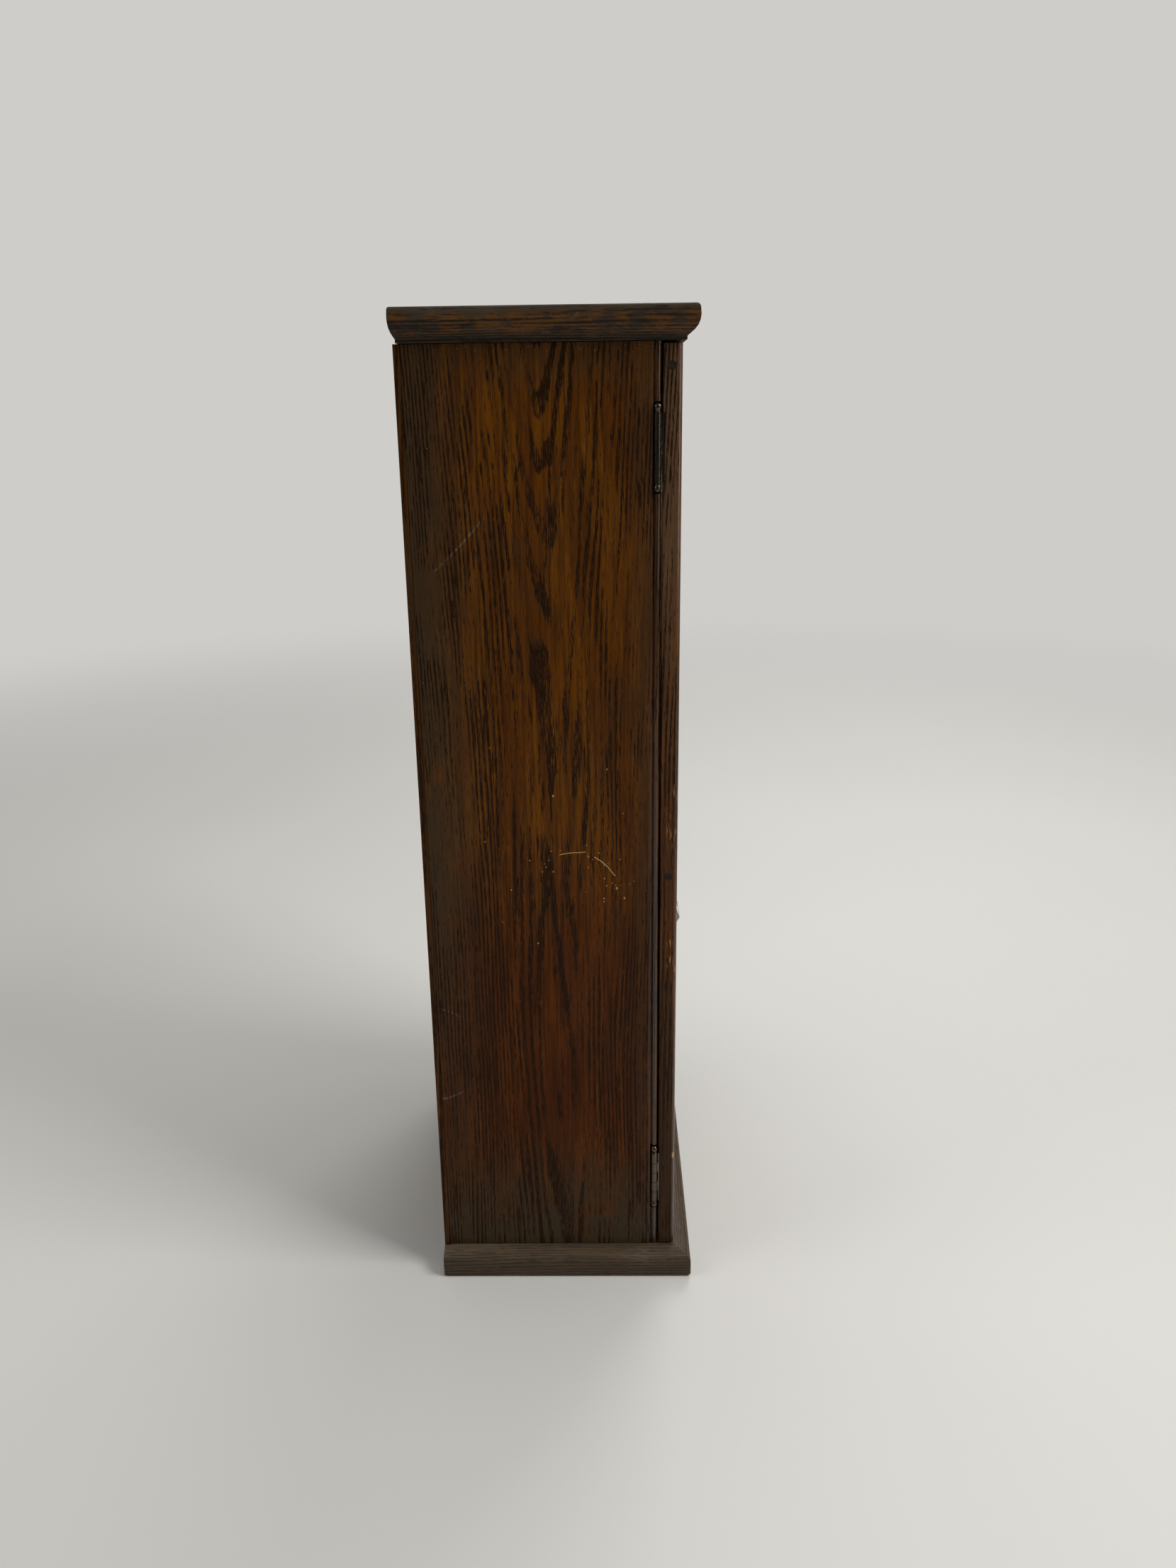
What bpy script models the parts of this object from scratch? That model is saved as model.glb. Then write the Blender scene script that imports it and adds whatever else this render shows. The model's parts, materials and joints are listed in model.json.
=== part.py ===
"""A punch time clock in an oak case: a full-height door with a dial window above and a card
throat below, a spring-driven pendulum movement, and a printing unit worked by a side lever.

Run with: blender --background --python part.py

The case stands on its base. +Z is up, the door faces -Y, and the origin is the middle of the
underside of the whole clock. Lengths are metres.
"""

import math

import bmesh
import bpy
from mathutils import Vector

# ---------------------------------------------------------------- driving dimensions

GAP = 0.0003  # between pieces that touch

# Case
HALF_WIDTH = 0.154  # to the outer face of a side board
BASE_OVERHANG = 0.013  # of the base past a side board
KNOB_REACH = 0.036  # of the lever knob past the right side board
FRONT_Y = -0.0903  # front of the door
BACK_Y = 0.1032  # back of the back board
BASE_TOP = 0.023
CASE_TOP = 0.7395  # top of the side boards
HEIGHT = 0.762
SIDE_THICKNESS = 0.016
BACK_THICKNESS = 0.0045
DOOR_THICKNESS = 0.013
DOOR_GAP = 0.0012  # between the door's back and the side boards' front edges
BEAD_RADIUS = 0.00235

# Door
DOOR_BOTTOM = 0.0245
DOOR_TOP = 0.7382
STILE_WIDTH = 0.038
REBATE = 0.006
LIP_THICKNESS = 0.005
WINDOW_BOTTOM = 0.375
WINDOW_TOP = 0.698
PANEL_BOTTOM = 0.0695
PANEL_TOP = 0.339

# Hinges
HINGE_HEIGHTS = {"upper": 0.6708, "lower": 0.0893}  # middle of each barrel
BARREL_LENGTH = 0.0452
BARREL_RADIUS = 0.0025
PIN_RADIUS = 0.0011
KNUCKLES = 5

# Lock
LOCK_X, LOCK_Z = 0.128, 0.405
LOCK_HOLE = 0.0055  # radius

# Movement
CENTRE_Z = 0.575  # of the dial and its hands
DIAL_RADIUS = 0.104
SHOWN_HOURS, SHOWN_MINUTES = 10, 8.4  # the time that the hands show
FRONT_PLATE_Y = -0.052
BACK_PLATE_Y = -0.006
PLATE_THICKNESS = 0.002
SEAT_TOP = 0.511
MITRE_START = 0.0045  # from a mitre gear's small end to where its axis meets the other one's

# Pendulum
PENDULUM_Y = 0.056
PIVOT_Z = 0.672
BOB_Z = 0.418
BOB_RADIUS = 0.032

# Printing unit
FRAME_HALF = 0.062  # inner face of a frame plate
DRIVE_Y = -0.0150  # drive rod, and the type wheel axis below it
TYPE_Z = 0.190  # type wheel axis
TYPE_RADIUS = 0.0255
SPOOL_X, SPOOL_Y = 0.0530, -0.0345
HAMMER_Y, HAMMER_Z = -0.064, 0.120
LEVER_Y, LEVER_Z = 0.000, 0.110
KNOB_Y, KNOB_Z = -0.070, 0.185
CHUTE_HALF = 0.0465
CHUTE_FRONT, CHUTE_BACK = -0.0512, -0.0421
CHUTE_TOP = 0.222

# Worked out from the above
CASE_X = -(KNOB_REACH - BASE_OVERHANG) / 2  # centres the box of the whole clock on the origin
CASE_FRONT = FRONT_Y + DOOR_THICKNESS + DOOR_GAP
DOOR_BACK = FRONT_Y + DOOR_THICKNESS
INNER = HALF_WIDTH - SIDE_THICKNESS
BOARD_BACK = BACK_Y - BACK_THICKNESS
LIP_X = HALF_WIDTH - STILE_WIDTH  # inner edge of a stile's front lip
REBATE_X = LIP_X + REBATE
LIP_BACK = FRONT_Y + LIP_THICKNESS
HINGE_X = -HALF_WIDTH + 0.0004
HINGE_Y = FRONT_Y + 0.0165
LEAF_EDGE = -HALF_WIDTH + 0.0140  # inner edge of a hinge leaf
LEAF_ROOM = BARREL_LENGTH / 2 + GAP  # half the height of the recess for a leaf
PANEL_FACE = FRONT_Y + 0.0018  # front of the door panel's raised field
SHAFT_HALF = FRAME_HALF + 0.002  # end of a shaft that runs in both frame plates


# ---------------------------------------------------------------- scene and finishes

def clear_scene():
    for obj in list(bpy.data.objects):
        bpy.data.objects.remove(obj, do_unlink=True)


def new_collection(name):
    made = bpy.data.collections.new(name)
    bpy.context.scene.collection.children.link(made)
    return made


def new_finish(name, colour, roughness, metallic=0.0):
    made = bpy.data.materials.new(name)
    made.use_nodes = True
    shader = made.node_tree.nodes["Principled BSDF"]
    shader.inputs["Base Color"].default_value = (*colour, 1.0)
    shader.inputs["Roughness"].default_value = roughness
    shader.inputs["Metallic"].default_value = metallic
    made.diffuse_color = (*colour, 1.0)
    return made


clear_scene()
PARTS = new_collection("punch_time_clock")
HELPERS = new_collection("helpers")
FINISHES = {
    "oak": new_finish("oak", (0.10, 0.05, 0.025), 0.35),
    "oak_dark": new_finish("oak_dark", (0.035, 0.025, 0.02), 0.45),
    "brass": new_finish("brass", (0.55, 0.40, 0.16), 0.3, 1.0),
    "bronze": new_finish("bronze", (0.12, 0.10, 0.07), 0.4, 1.0),
    "steel": new_finish("steel", (0.45, 0.45, 0.46), 0.3, 1.0),
    "nickel": new_finish("nickel", (0.60, 0.58, 0.53), 0.25, 1.0),
    "iron": new_finish("iron", (0.03, 0.03, 0.03), 0.5),
    "enamel": new_finish("enamel", (0.80, 0.77, 0.68), 0.35),
    "glass": new_finish("glass", (0.9, 0.95, 0.93), 0.05),
    "ribbon": new_finish("ribbon", (0.02, 0.02, 0.04), 0.9),
}


def new_empty(name, at, parent=None):
    """An empty on a joint's axis. at is a point in the case's own frame."""
    empty = bpy.data.objects.new(name, None)
    PARTS.objects.link(empty)
    empty["at"] = at
    empty.parent = parent
    empty.location = Vector(at) - Vector(parent["at"] if parent else (0, 0, 0))
    return empty


ASSEMBLY = new_empty("case_centre", (0, 0, 0))
ASSEMBLY.location.x = CASE_X
DOOR = new_empty("door_axis", (HINGE_X, HINGE_Y, 0), ASSEMBLY)
LOCK = new_empty("lock_axis", (LOCK_X, DOOR_BACK, LOCK_Z), DOOR)
MINUTE = new_empty("minute_axis", (0, 0, CENTRE_Z), ASSEMBLY)
HOUR = new_empty("hour_axis", (0, 0, CENTRE_Z), ASSEMBLY)
THIRD = new_empty("third_axis", (0.0155, 0, CENTRE_Z + 0.02211), ASSEMBLY)
ESCAPE = new_empty("escape_axis", (0, 0, CENTRE_Z + 0.03537), ASSEMBLY)
BARREL = new_empty("barrel_axis", (-0.0276, 0, CENTRE_Z - 0.0123), ASSEMBLY)
ANCHOR = new_empty("anchor_axis", (0, 0, CENTRE_Z + 0.055), ASSEMBLY)
PENDULUM = new_empty("pendulum_axis", (0, PENDULUM_Y, PIVOT_Z), ASSEMBLY)
DRIVE = new_empty("drive_axis", (0, DRIVE_Y, 0), ASSEMBLY)
TYPE = new_empty("type_axis", (0, DRIVE_Y, TYPE_Z), ASSEMBLY)
TYPE_HOUR = new_empty("type_hour_axis", (0, DRIVE_Y, TYPE_Z), ASSEMBLY)
LEVER = new_empty("lever_axis", (0, LEVER_Y, LEVER_Z), ASSEMBLY)
HAMMER = new_empty("hammer_axis", (0, HAMMER_Y, HAMMER_Z), ASSEMBLY)


# ---------------------------------------------------------------- shape helpers

TURN = {
    "X": (0, math.pi / 2, 0),
    "Y": (-math.pi / 2, 0, 0),
    "Z": (0, 0, 0),
}
FACE = {
    "X": (math.pi / 2, 0, math.pi / 2),
    "Y": (math.pi / 2, 0, 0),
    "Z": (0, 0, 0),
}


def new_object(name, mesh, finish, at, rotation=(0, 0, 0), parent=ASSEMBLY):
    """An object with its origin at the point at of the case's frame, on the named finish."""
    obj = bpy.data.objects.new(name, mesh)
    PARTS.objects.link(obj)
    obj.data.materials.append(FINISHES[finish])
    obj.parent = parent
    obj.location = Vector(at) - Vector(parent["at"])
    obj.rotation_euler = rotation
    return obj


def as_helper(obj):
    """Keeps an object as a tool for Booleans only."""
    PARTS.objects.unlink(obj)
    HELPERS.objects.link(obj)
    obj.hide_render = True
    obj.display_type = "WIRE"
    return obj


def boolean(obj, operation, *others, solver="EXACT"):
    for other in others:
        modifier = obj.modifiers.new(operation.lower(), "BOOLEAN")
        modifier.operation = operation
        modifier.solver = solver
        modifier.object = as_helper(other)
    return obj


def cut(obj, *others):
    return boolean(obj, "DIFFERENCE", *others)


def join(obj, *others, solver="EXACT"):
    return boolean(obj, "UNION", *others, solver=solver)


def box(name, low, high, finish="oak", parent=ASSEMBLY, bevel=0.0):
    """A box between two corners, with its edges broken by bevel."""
    low, high = Vector(low), Vector(high)
    mesh = bpy.data.meshes.new(name)
    form = bmesh.new()
    bmesh.ops.create_cube(form, size=1.0)
    bmesh.ops.scale(form, vec=high - low, verts=form.verts)
    form.to_mesh(mesh)
    form.free()
    obj = new_object(name, mesh, finish, (low + high) / 2, parent=parent)
    if bevel:
        modifier = obj.modifiers.new("edges", "BEVEL")
        modifier.width = bevel
        modifier.segments = 1
    return obj


def rod(name, start, length, radius, axis, finish="steel", parent=ASSEMBLY, sides=16):
    """A round rod from start along an axis."""
    mesh = bpy.data.meshes.new(name)
    form = bmesh.new()
    bmesh.ops.create_cone(
        form, cap_ends=True, segments=sides, radius1=radius, radius2=radius, depth=length
    )
    bmesh.ops.translate(form, vec=(0, 0, length / 2), verts=form.verts)
    form.to_mesh(mesh)
    form.free()
    mesh.shade_smooth()
    mesh.set_sharp_from_angle(angle=math.radians(40))
    return new_object(name, mesh, finish, start, TURN[axis], parent)


def turned(name, profile, at, axis, finish="brass", parent=ASSEMBLY, sides=24, closed=False):
    """A turned piece. The profile's (radius, height) points run down its outer side."""
    mesh = bpy.data.meshes.new(name)
    form = bmesh.new()
    points = [form.verts.new((radius, 0, height)) for radius, height in profile]
    for first, second in zip(points, points[1:]):
        form.edges.new((first, second))
    if closed:
        form.edges.new((points[-1], points[0]))
    form.to_mesh(mesh)
    form.free()
    obj = new_object(name, mesh, finish, at, TURN[axis], parent)
    screw = obj.modifiers.new("turn", "SCREW")
    screw.steps = screw.render_steps = sides
    screw.use_merge_vertices = True
    screw.merge_threshold = 0.00001
    screw.use_smooth_shade = True
    return obj


def tube(name, inner, outer, low, high, at, axis, finish="brass", parent=ASSEMBLY, sides=16):
    """A round tube or ring between two heights along its axis."""
    profile = [(outer, high), (outer, low), (inner, low), (inner, high)]
    return turned(name, profile, at, axis, finish, parent, sides, closed=True)


def circle(radius, sides=24, centre=(0, 0), start=0.0):
    """Points round a circle."""
    u, v = centre
    angles = [start + i * 2 * math.pi / sides for i in range(sides)]
    return [(u + radius * math.cos(a), v + radius * math.sin(a)) for a in angles]


def plate(name, outlines, low, high, axis, finish="brass", parent=ASSEMBLY, at=(0, 0)):
    """A flat piece: outlines, the later ones holes, filled and given depth from low to high on axis.

    Outline points are (y, z) for axis X, (x, z) for axis Y and (x, y) for axis Z, about at.
    """
    curve = bpy.data.curves.new(name, "CURVE")
    curve.dimensions = "2D"
    curve.fill_mode = "BOTH"
    curve.extrude = (high - low) / 2
    for outline in outlines:
        spline = curve.splines.new("POLY")
        spline.points.add(len(outline) - 1)
        for point, (u, v) in zip(spline.points, outline):
            point.co = (u, v, 0, 1)
        spline.use_cyclic_u = True
    drawn = bpy.data.objects.new(name, curve)
    HELPERS.objects.link(drawn)
    graph = bpy.context.evaluated_depsgraph_get()
    mesh = bpy.data.meshes.new_from_object(drawn.evaluated_get(graph))
    bpy.data.objects.remove(drawn)
    form = bmesh.new()
    form.from_mesh(mesh)
    bmesh.ops.remove_doubles(form, verts=form.verts, dist=0.000001)
    form.to_mesh(mesh)
    form.free()
    middle = (low + high) / 2
    place = {"X": (middle, *at), "Y": (at[0], middle, at[1]), "Z": (*at, middle)}[axis]
    return new_object(name, mesh, finish, place, FACE[axis], parent)


def moulded(name, rings, finish="oak", parent=ASSEMBLY):
    """A slab whose edge is moulded: level rectangles (x0, x1, y0, y1, z), bottom to top, joined up."""
    mesh = bpy.data.meshes.new(name)
    form = bmesh.new()
    loops = []
    for x0, x1, y0, y1, z in rings:
        corners = ((x0, y0), (x1, y0), (x1, y1), (x0, y1))
        loops.append([form.verts.new((x, y, z)) for x, y in corners])
    for lower, upper in zip(loops, loops[1:]):
        for i in range(4):
            j = (i + 1) % 4
            form.faces.new((lower[i], lower[j], upper[j], upper[i]))
    form.faces.new(reversed(loops[0]))
    form.faces.new(loops[-1])
    form.to_mesh(mesh)
    form.free()
    return new_object(name, mesh, finish, (0, 0, 0), parent=parent)


def arc(centre, radius, first, last, steps):
    """Points along an arc, from the first to the last angle in degrees."""
    angles = [math.radians(first + (last - first) * i / steps) for i in range(steps + 1)]
    return [(centre[0] + radius * math.cos(a), centre[1] + radius * math.sin(a)) for a in angles]


def mirrored(points):
    return [(-x, y) for x, y in points]


def gear_outline(teeth, pitch_radius, depth=1.0, share=0.30, start=0.0):
    """A toothed outline. share is half a tooth's part of the pitch at its root."""
    module = 2 * pitch_radius / teeth
    tip = pitch_radius + 0.75 * module * depth
    root = pitch_radius - 1.0 * module * depth
    step = 2 * math.pi / teeth
    points = []
    for i in range(teeth):
        middle = start + i * step
        for radius, half in ((root, -share), (tip, 0), (root, share)):
            angle = middle + half * step
            points.append((radius * math.cos(angle), radius * math.sin(angle)))
    return points


def crossings(inner, outer, arms, width):
    """The holes between the arms of a wheel."""
    holes = []
    step = 2 * math.pi / arms
    for i in range(arms):
        near = math.asin(width / 2 / inner)
        far = math.asin(width / 2 / outer)
        low, high = i * step, (i + 1) * step
        inside = [(inner * math.cos(a), inner * math.sin(a)) for a in (low + near, high - near)]
        spread = [low + far + (step - 2 * far) * k / 4 for k in range(5)]
        outside = [(outer * math.cos(a), outer * math.sin(a)) for a in reversed(spread)]
        holes.append(inside + outside)
    return holes


# ---------------------------------------------------------------- case

def make_base():
    """The base board: a rounded foot, an upright edge, and a slope up to the case."""
    profile = (
        (0.0100, 0.0), (0.0121, 0.0009), (0.0130, 0.0030), (0.0130, 0.0145), (0.0127, 0.0168),
        (0.0112, 0.0190), (0.0085, 0.0203), (0.0, BASE_TOP),
    )
    front_share = 0.014 / BASE_OVERHANG
    rings = [
        (-HALF_WIDTH - out, HALF_WIDTH + out, FRONT_Y - out * front_share, BACK_Y, z)
        for out, z in profile
    ]
    base = moulded("base_board", rings, "oak_dark")
    tray = box(
        "back_board_seat", (-HALF_WIDTH - 0.0005, BOARD_BACK - GAP, BASE_TOP - 0.0025),
        (HALF_WIDTH + 0.0005, BACK_Y + 0.01, BASE_TOP + 0.01),
    )
    cut(base, tray)


def make_top():
    """The top board: a small fillet over the case, an ovolo, and an edge with broken corners."""
    low = CASE_TOP + GAP
    profile = (
        (0.0027, low), (0.0027, 0.7424), (0.0045, 0.7436), (0.0075, 0.7462), (0.0095, 0.7488),
        (0.0107, 0.7520), (0.0111, 0.7550), (0.0107, 0.7600), (0.0100, 0.7613), (0.0088, HEIGHT),
    )
    widest = max(out for out, _ in profile)
    back_reach = 0.0011
    rings = [
        (
            -HALF_WIDTH - out, HALF_WIDTH + out, FRONT_Y - out,
            BACK_Y + back_reach - (widest - out) * 0.4, z,
        )
        for out, z in profile
    ]
    moulded("top_board", rings, "oak_dark")


def make_side_board(side):
    """A side board with a quirk and bead down its front edge. side is -1 for left, 1 for right."""
    name = "side_board_left" if side < 0 else "side_board_right"
    bead = (-HALF_WIDTH + BEAD_RADIUS, CASE_FRONT + BEAD_RADIUS)
    outline = [
        (-INNER, BOARD_BACK - GAP),
        (-HALF_WIDTH, BOARD_BACK - GAP),
        (-HALF_WIDTH, CASE_FRONT + 0.0059),
        (-HALF_WIDTH + 0.0018, CASE_FRONT + 0.0051),
        *arc(bead, BEAD_RADIUS, 115, 270, 6),
        (-INNER, CASE_FRONT),
    ]
    if side > 0:
        outline = mirrored(outline)
    return plate(name, [outline], BASE_TOP + GAP, CASE_TOP, "Z", "oak")


def make_sides():
    left = make_side_board(-1)
    right = make_side_board(1)
    reach = BARREL_LENGTH / 2 + 0.0078
    outside = (-HALF_WIDTH - 0.001, CASE_FRONT - 0.001)
    for name, middle in HINGE_HEIGHTS.items():
        barrel_room = box(
            f"{name}_barrel_room", (*outside, middle - reach),
            (HINGE_X + BARREL_RADIUS + 0.0006, HINGE_Y + BARREL_RADIUS + 0.0009, middle + reach),
        )
        leaf_room = box(
            f"{name}_leaf_room", (*outside, middle - LEAF_ROOM),
            (LEAF_EDGE + 0.0005, CASE_FRONT + 0.0010, middle + LEAF_ROOM),
        )
        cut(left, barrel_room, leaf_room)
    cut(
        right,
        rod("lever_hole", (INNER - 0.005, LEVER_Y, LEVER_Z), 0.03, 0.0062, "X"),
        box(
            "lock_mortise", (INNER - 0.002, -0.0700, LOCK_Z - 0.017),
            (INNER + 0.0095, -0.0645, LOCK_Z + 0.013),
        ),
    )


def make_back():
    holes = [circle(0.003, 12, (x, z)) for x in (-0.09, 0.09) for z in (0.070, 0.700)]
    outline = [
        (-HALF_WIDTH, BASE_TOP - 0.002), (HALF_WIDTH, BASE_TOP - 0.002),
        (HALF_WIDTH, CASE_TOP), (-HALF_WIDTH, CASE_TOP),
    ]
    plate("back_board", [outline, *holes], BOARD_BACK, BACK_Y, "Y", "oak")


def make_seat():
    """The shelf that the movement stands on, with room for the drive rod and the pendulum."""
    outline = [
        (-INNER + GAP, -0.058), (INNER - GAP, -0.058),
        (INNER - GAP, BOARD_BACK - GAP), (-INNER + GAP, BOARD_BACK - GAP),
    ]
    slot = [(-0.022, 0.044), (0.022, 0.044), (0.022, 0.068), (-0.022, 0.068)]
    hole = circle(0.006, 12, (0, DRIVE_Y))
    plate("seat_board", [outline, slot, hole], SEAT_TOP - 0.012, SEAT_TOP, "Z", "oak")


# ---------------------------------------------------------------- door

def make_stile(side):
    name = "door_stile_left" if side < 0 else "door_stile_right"
    edge = 0.0025
    outline = [
        *arc((-HALF_WIDTH + edge, FRONT_Y + edge), edge, 180, 270, 3),
        (-LIP_X - 0.002, FRONT_Y), (-LIP_X, FRONT_Y + 0.002),
        (-LIP_X, LIP_BACK), (-REBATE_X, LIP_BACK), (-REBATE_X, DOOR_BACK), (-HALF_WIDTH, DOOR_BACK),
    ]
    if side > 0:
        outline = mirrored(outline)
    return plate(name, [outline], DOOR_BOTTOM, DOOR_TOP, "Z", "oak", DOOR)


def make_rail(name, low, high, back_low, back_high):
    """A rail: a front lip between the stiles' lips, and a back part between their backs."""
    front = box(
        name, (-LIP_X + GAP, FRONT_Y, low), (LIP_X - GAP, LIP_BACK, high), "oak", DOOR, 0.0007
    )
    back = box(
        f"{name}_back", (-REBATE_X + GAP, LIP_BACK + GAP, back_low),
        (REBATE_X - GAP, DOOR_BACK, back_high), "oak", DOOR,
    )
    web = box(
        f"{name}_web", (-LIP_X + 0.001, FRONT_Y + 0.001, back_low + 0.001),
        (LIP_X - 0.001, DOOR_BACK - 0.001, back_high - 0.001), "oak", DOOR,
    )
    join(front, back, web)


def make_door():
    left = make_stile(-1)
    right = make_stile(1)
    for name, middle in HINGE_HEIGHTS.items():
        recess = box(
            f"{name}_door_recess", (-HALF_WIDTH - 0.001, DOOR_BACK - 0.0010, middle - LEAF_ROOM),
            (LEAF_EDGE + 0.0005, DOOR_BACK + 0.001, middle + LEAF_ROOM), parent=DOOR,
        )
        cut(left, recess)
    cut(right, rod("lock_hole", (LOCK_X, FRONT_Y - 0.01, LOCK_Z), 0.03, LOCK_HOLE, "Y", parent=DOOR))
    make_rail("door_rail_top", WINDOW_TOP, DOOR_TOP, WINDOW_TOP + REBATE, DOOR_TOP)
    make_rail(
        "door_rail_middle", PANEL_TOP, WINDOW_BOTTOM, PANEL_TOP + REBATE, WINDOW_BOTTOM - REBATE
    )
    make_rail("door_rail_bottom", DOOR_BOTTOM, PANEL_BOTTOM, DOOR_BOTTOM, PANEL_BOTTOM - REBATE)


def make_glass():
    x = REBATE_X - GAP
    low, high = WINDOW_BOTTOM - REBATE + GAP, WINDOW_TOP + REBATE - GAP
    pane_back = LIP_BACK + GAP + 0.002
    box("dial_glass", (-x, LIP_BACK + GAP, low), (x, pane_back, high), "glass", DOOR)
    outer = [(-x, low), (x, low), (x, high), (-x, high)]
    inner = [
        (-LIP_X, WINDOW_BOTTOM), (LIP_X, WINDOW_BOTTOM), (LIP_X, WINDOW_TOP), (-LIP_X, WINDOW_TOP),
    ]
    plate("glass_bead", [outer, inner], pane_back + GAP, DOOR_BACK, "Y", "oak", DOOR)


def make_panel():
    """The lower panel: a raised field on its front, and an opening behind the card throat."""
    x = REBATE_X - GAP
    low, high = PANEL_BOTTOM - REBATE + GAP, PANEL_TOP + REBATE - GAP
    back = LIP_BACK + GAP
    body = box("door_panel", (-x, back, low), (x, DOOR_BACK, high), "oak", DOOR)
    steps = ((0.0025, back + 0.001), (0.0025, back), (0.016, PANEL_FACE))
    mesh = bpy.data.meshes.new("raised_field")
    shape = bmesh.new()
    loops = []
    for inset, y in steps:
        u, v0, v1 = LIP_X - inset, PANEL_BOTTOM + inset, PANEL_TOP - inset
        corners = ((-u, v0), (u, v0), (u, v1), (-u, v1))
        loops.append([shape.verts.new((a, y, b)) for a, b in corners])
    for near, far in zip(loops, loops[1:]):
        for i in range(4):
            j = (i + 1) % 4
            shape.faces.new((near[i], near[j], far[j], far[i]))
    shape.faces.new(loops[0])
    shape.faces.new(loops[-1])
    bmesh.ops.recalc_face_normals(shape, faces=shape.faces)
    shape.to_mesh(mesh)
    shape.free()
    join(body, new_object("raised_field", mesh, "oak", (0, 0, 0), parent=DOOR))
    cut(body, box("throat_room", (-0.0475, -0.12, 0.238), (0.0475, 0, 0.303), parent=DOOR))


def make_throat():
    """The card throat: a plate with an opening, and a scoop that guides a card in and down."""
    face = PANEL_FACE - GAP
    outer = [(-0.060, 0.222), (0.060, 0.222), (0.060, 0.319), (-0.060, 0.319)]
    hole = [(-0.0445, 0.244), (0.0445, 0.244), (0.0445, 0.300), (-0.0445, 0.300)]
    throat = plate("card_throat", [outer, hole], face - 0.0015, face, "Y", "nickel", DOOR)
    lip_y, lip_z = FRONT_Y - 0.0078, 0.2762
    foot_y, foot_z = FRONT_Y + 0.0100, 0.2420
    thick = 0.0014
    scoop = [
        (lip_y, lip_z), (foot_y, foot_z), (foot_y, foot_z - 1.9 * thick), (lip_y - thick, lip_z - thick)
    ]
    cheek = [
        (lip_y, lip_z), (foot_y, foot_z + 0.034), (foot_y, foot_z - 1.6 * thick),
        (lip_y - thick / 2, lip_z - thick),
    ]
    half = 0.0455
    join(
        throat,
        plate("scoop", [scoop], -half, half, "X", "nickel", DOOR),
        plate("cheek_left", [cheek], -half - 0.0006, -half + 0.0010, "X", "nickel", DOOR),
        plate("cheek_right", [cheek], half - 0.0010, half + 0.0006, "X", "nickel", DOOR),
        rod("rolled_lip", (-half, lip_y - 0.0002, lip_z), 2 * half, 0.0010, "X", "nickel", DOOR, 10),
    )


def make_lock():
    x, _, z = LOCK["at"]
    rim = 0.0012
    tube(
        "lock_escutcheon", LOCK_HOLE, 0.0100, 0.0, rim, (x, FRONT_Y - rim - GAP, z), "Y", "brass", DOOR, 24
    )
    housing = box(
        "lock_case", (x - 0.0095, DOOR_BACK + GAP, z - 0.020),
        (x + 0.0085, DOOR_BACK + 0.0092, z + 0.020), "brass", DOOR, 0.0008,
    )
    cut(housing, rod("lock_case_hole", (x, DOOR_BACK - 0.01, z), 0.03, LOCK_HOLE, "Y", parent=DOOR))
    cylinder = rod("lock_cylinder", (x, FRONT_Y - 0.0022, z), 0.0262, 0.0050, "Y", "nickel", LOCK)
    cam = box(
        "lock_cam", (x - 0.004, DOOR_BACK + 0.0096, z - 0.0165),
        (x + 0.004, DOOR_BACK + 0.0110, z + 0.003), "nickel", LOCK,
    )
    keyway = box(
        "keyway", (x - 0.0006, FRONT_Y - 0.01, z - 0.003), (x + 0.0006, FRONT_Y + 0.004, z + 0.003),
        parent=LOCK,
    )
    join(cylinder, cam)
    cut(cylinder, keyway)


# ---------------------------------------------------------------- hinges

def make_hinge(name, middle):
    """A butt hinge with a ball-tipped pin. The case leaf has three knuckles and the door leaf two."""
    low, high = middle - BARREL_LENGTH / 2, middle + BARREL_LENGTH / 2
    pitch = BARREL_LENGTH / KNUCKLES
    case_leaf = box(
        f"{name}_hinge_case_leaf", (HINGE_X, CASE_FRONT - 0.0003, low),
        (LEAF_EDGE, CASE_FRONT + 0.0007, high), "bronze",
    )
    door_leaf = box(
        f"{name}_hinge_door_leaf", (HINGE_X - 0.0004, DOOR_BACK - 0.0007, low),
        (LEAF_EDGE, DOOR_BACK + 0.0003, high), "bronze", DOOR,
    )
    for i in range(KNUCKLES):
        leaf, parent = (door_leaf, DOOR) if i % 2 else (case_leaf, ASSEMBLY)
        bottom = low + i * pitch + (0.0002 if i else 0)
        length = pitch - (0.0002 if i in (0, KNUCKLES - 1) else 0.0004)
        start = (HINGE_X, HINGE_Y, bottom)
        join(leaf, rod(f"{name}_knuckle_{i}", start, length, BARREL_RADIUS, "Z", "bronze", parent))
        if i % 2:
            web = box(
                f"{name}_web_{i}", (HINGE_X - 0.0004, DOOR_BACK - 0.0006, bottom),
                (HINGE_X + 0.0010, HINGE_Y, bottom + length), "bronze", DOOR,
            )
            room = box(
                f"{name}_web_room_{i}", (HINGE_X - 0.01, CASE_FRONT - 0.002, bottom - 0.0002),
                (HINGE_X + BARREL_RADIUS + 0.0008, HINGE_Y, bottom + length + 0.0002),
            )
            join(leaf, web)
            cut(case_leaf, room)
    for leaf, parent in ((case_leaf, ASSEMBLY), (door_leaf, DOOR)):
        bore = rod(
            f"{leaf.name}_bore", (HINGE_X, HINGE_Y, low - 0.01), BARREL_LENGTH + 0.02,
            PIN_RADIUS + GAP, "Z", parent=parent, sides=12,
        )
        cut(leaf, bore)
    make_hinge_pin(name, middle)


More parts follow.
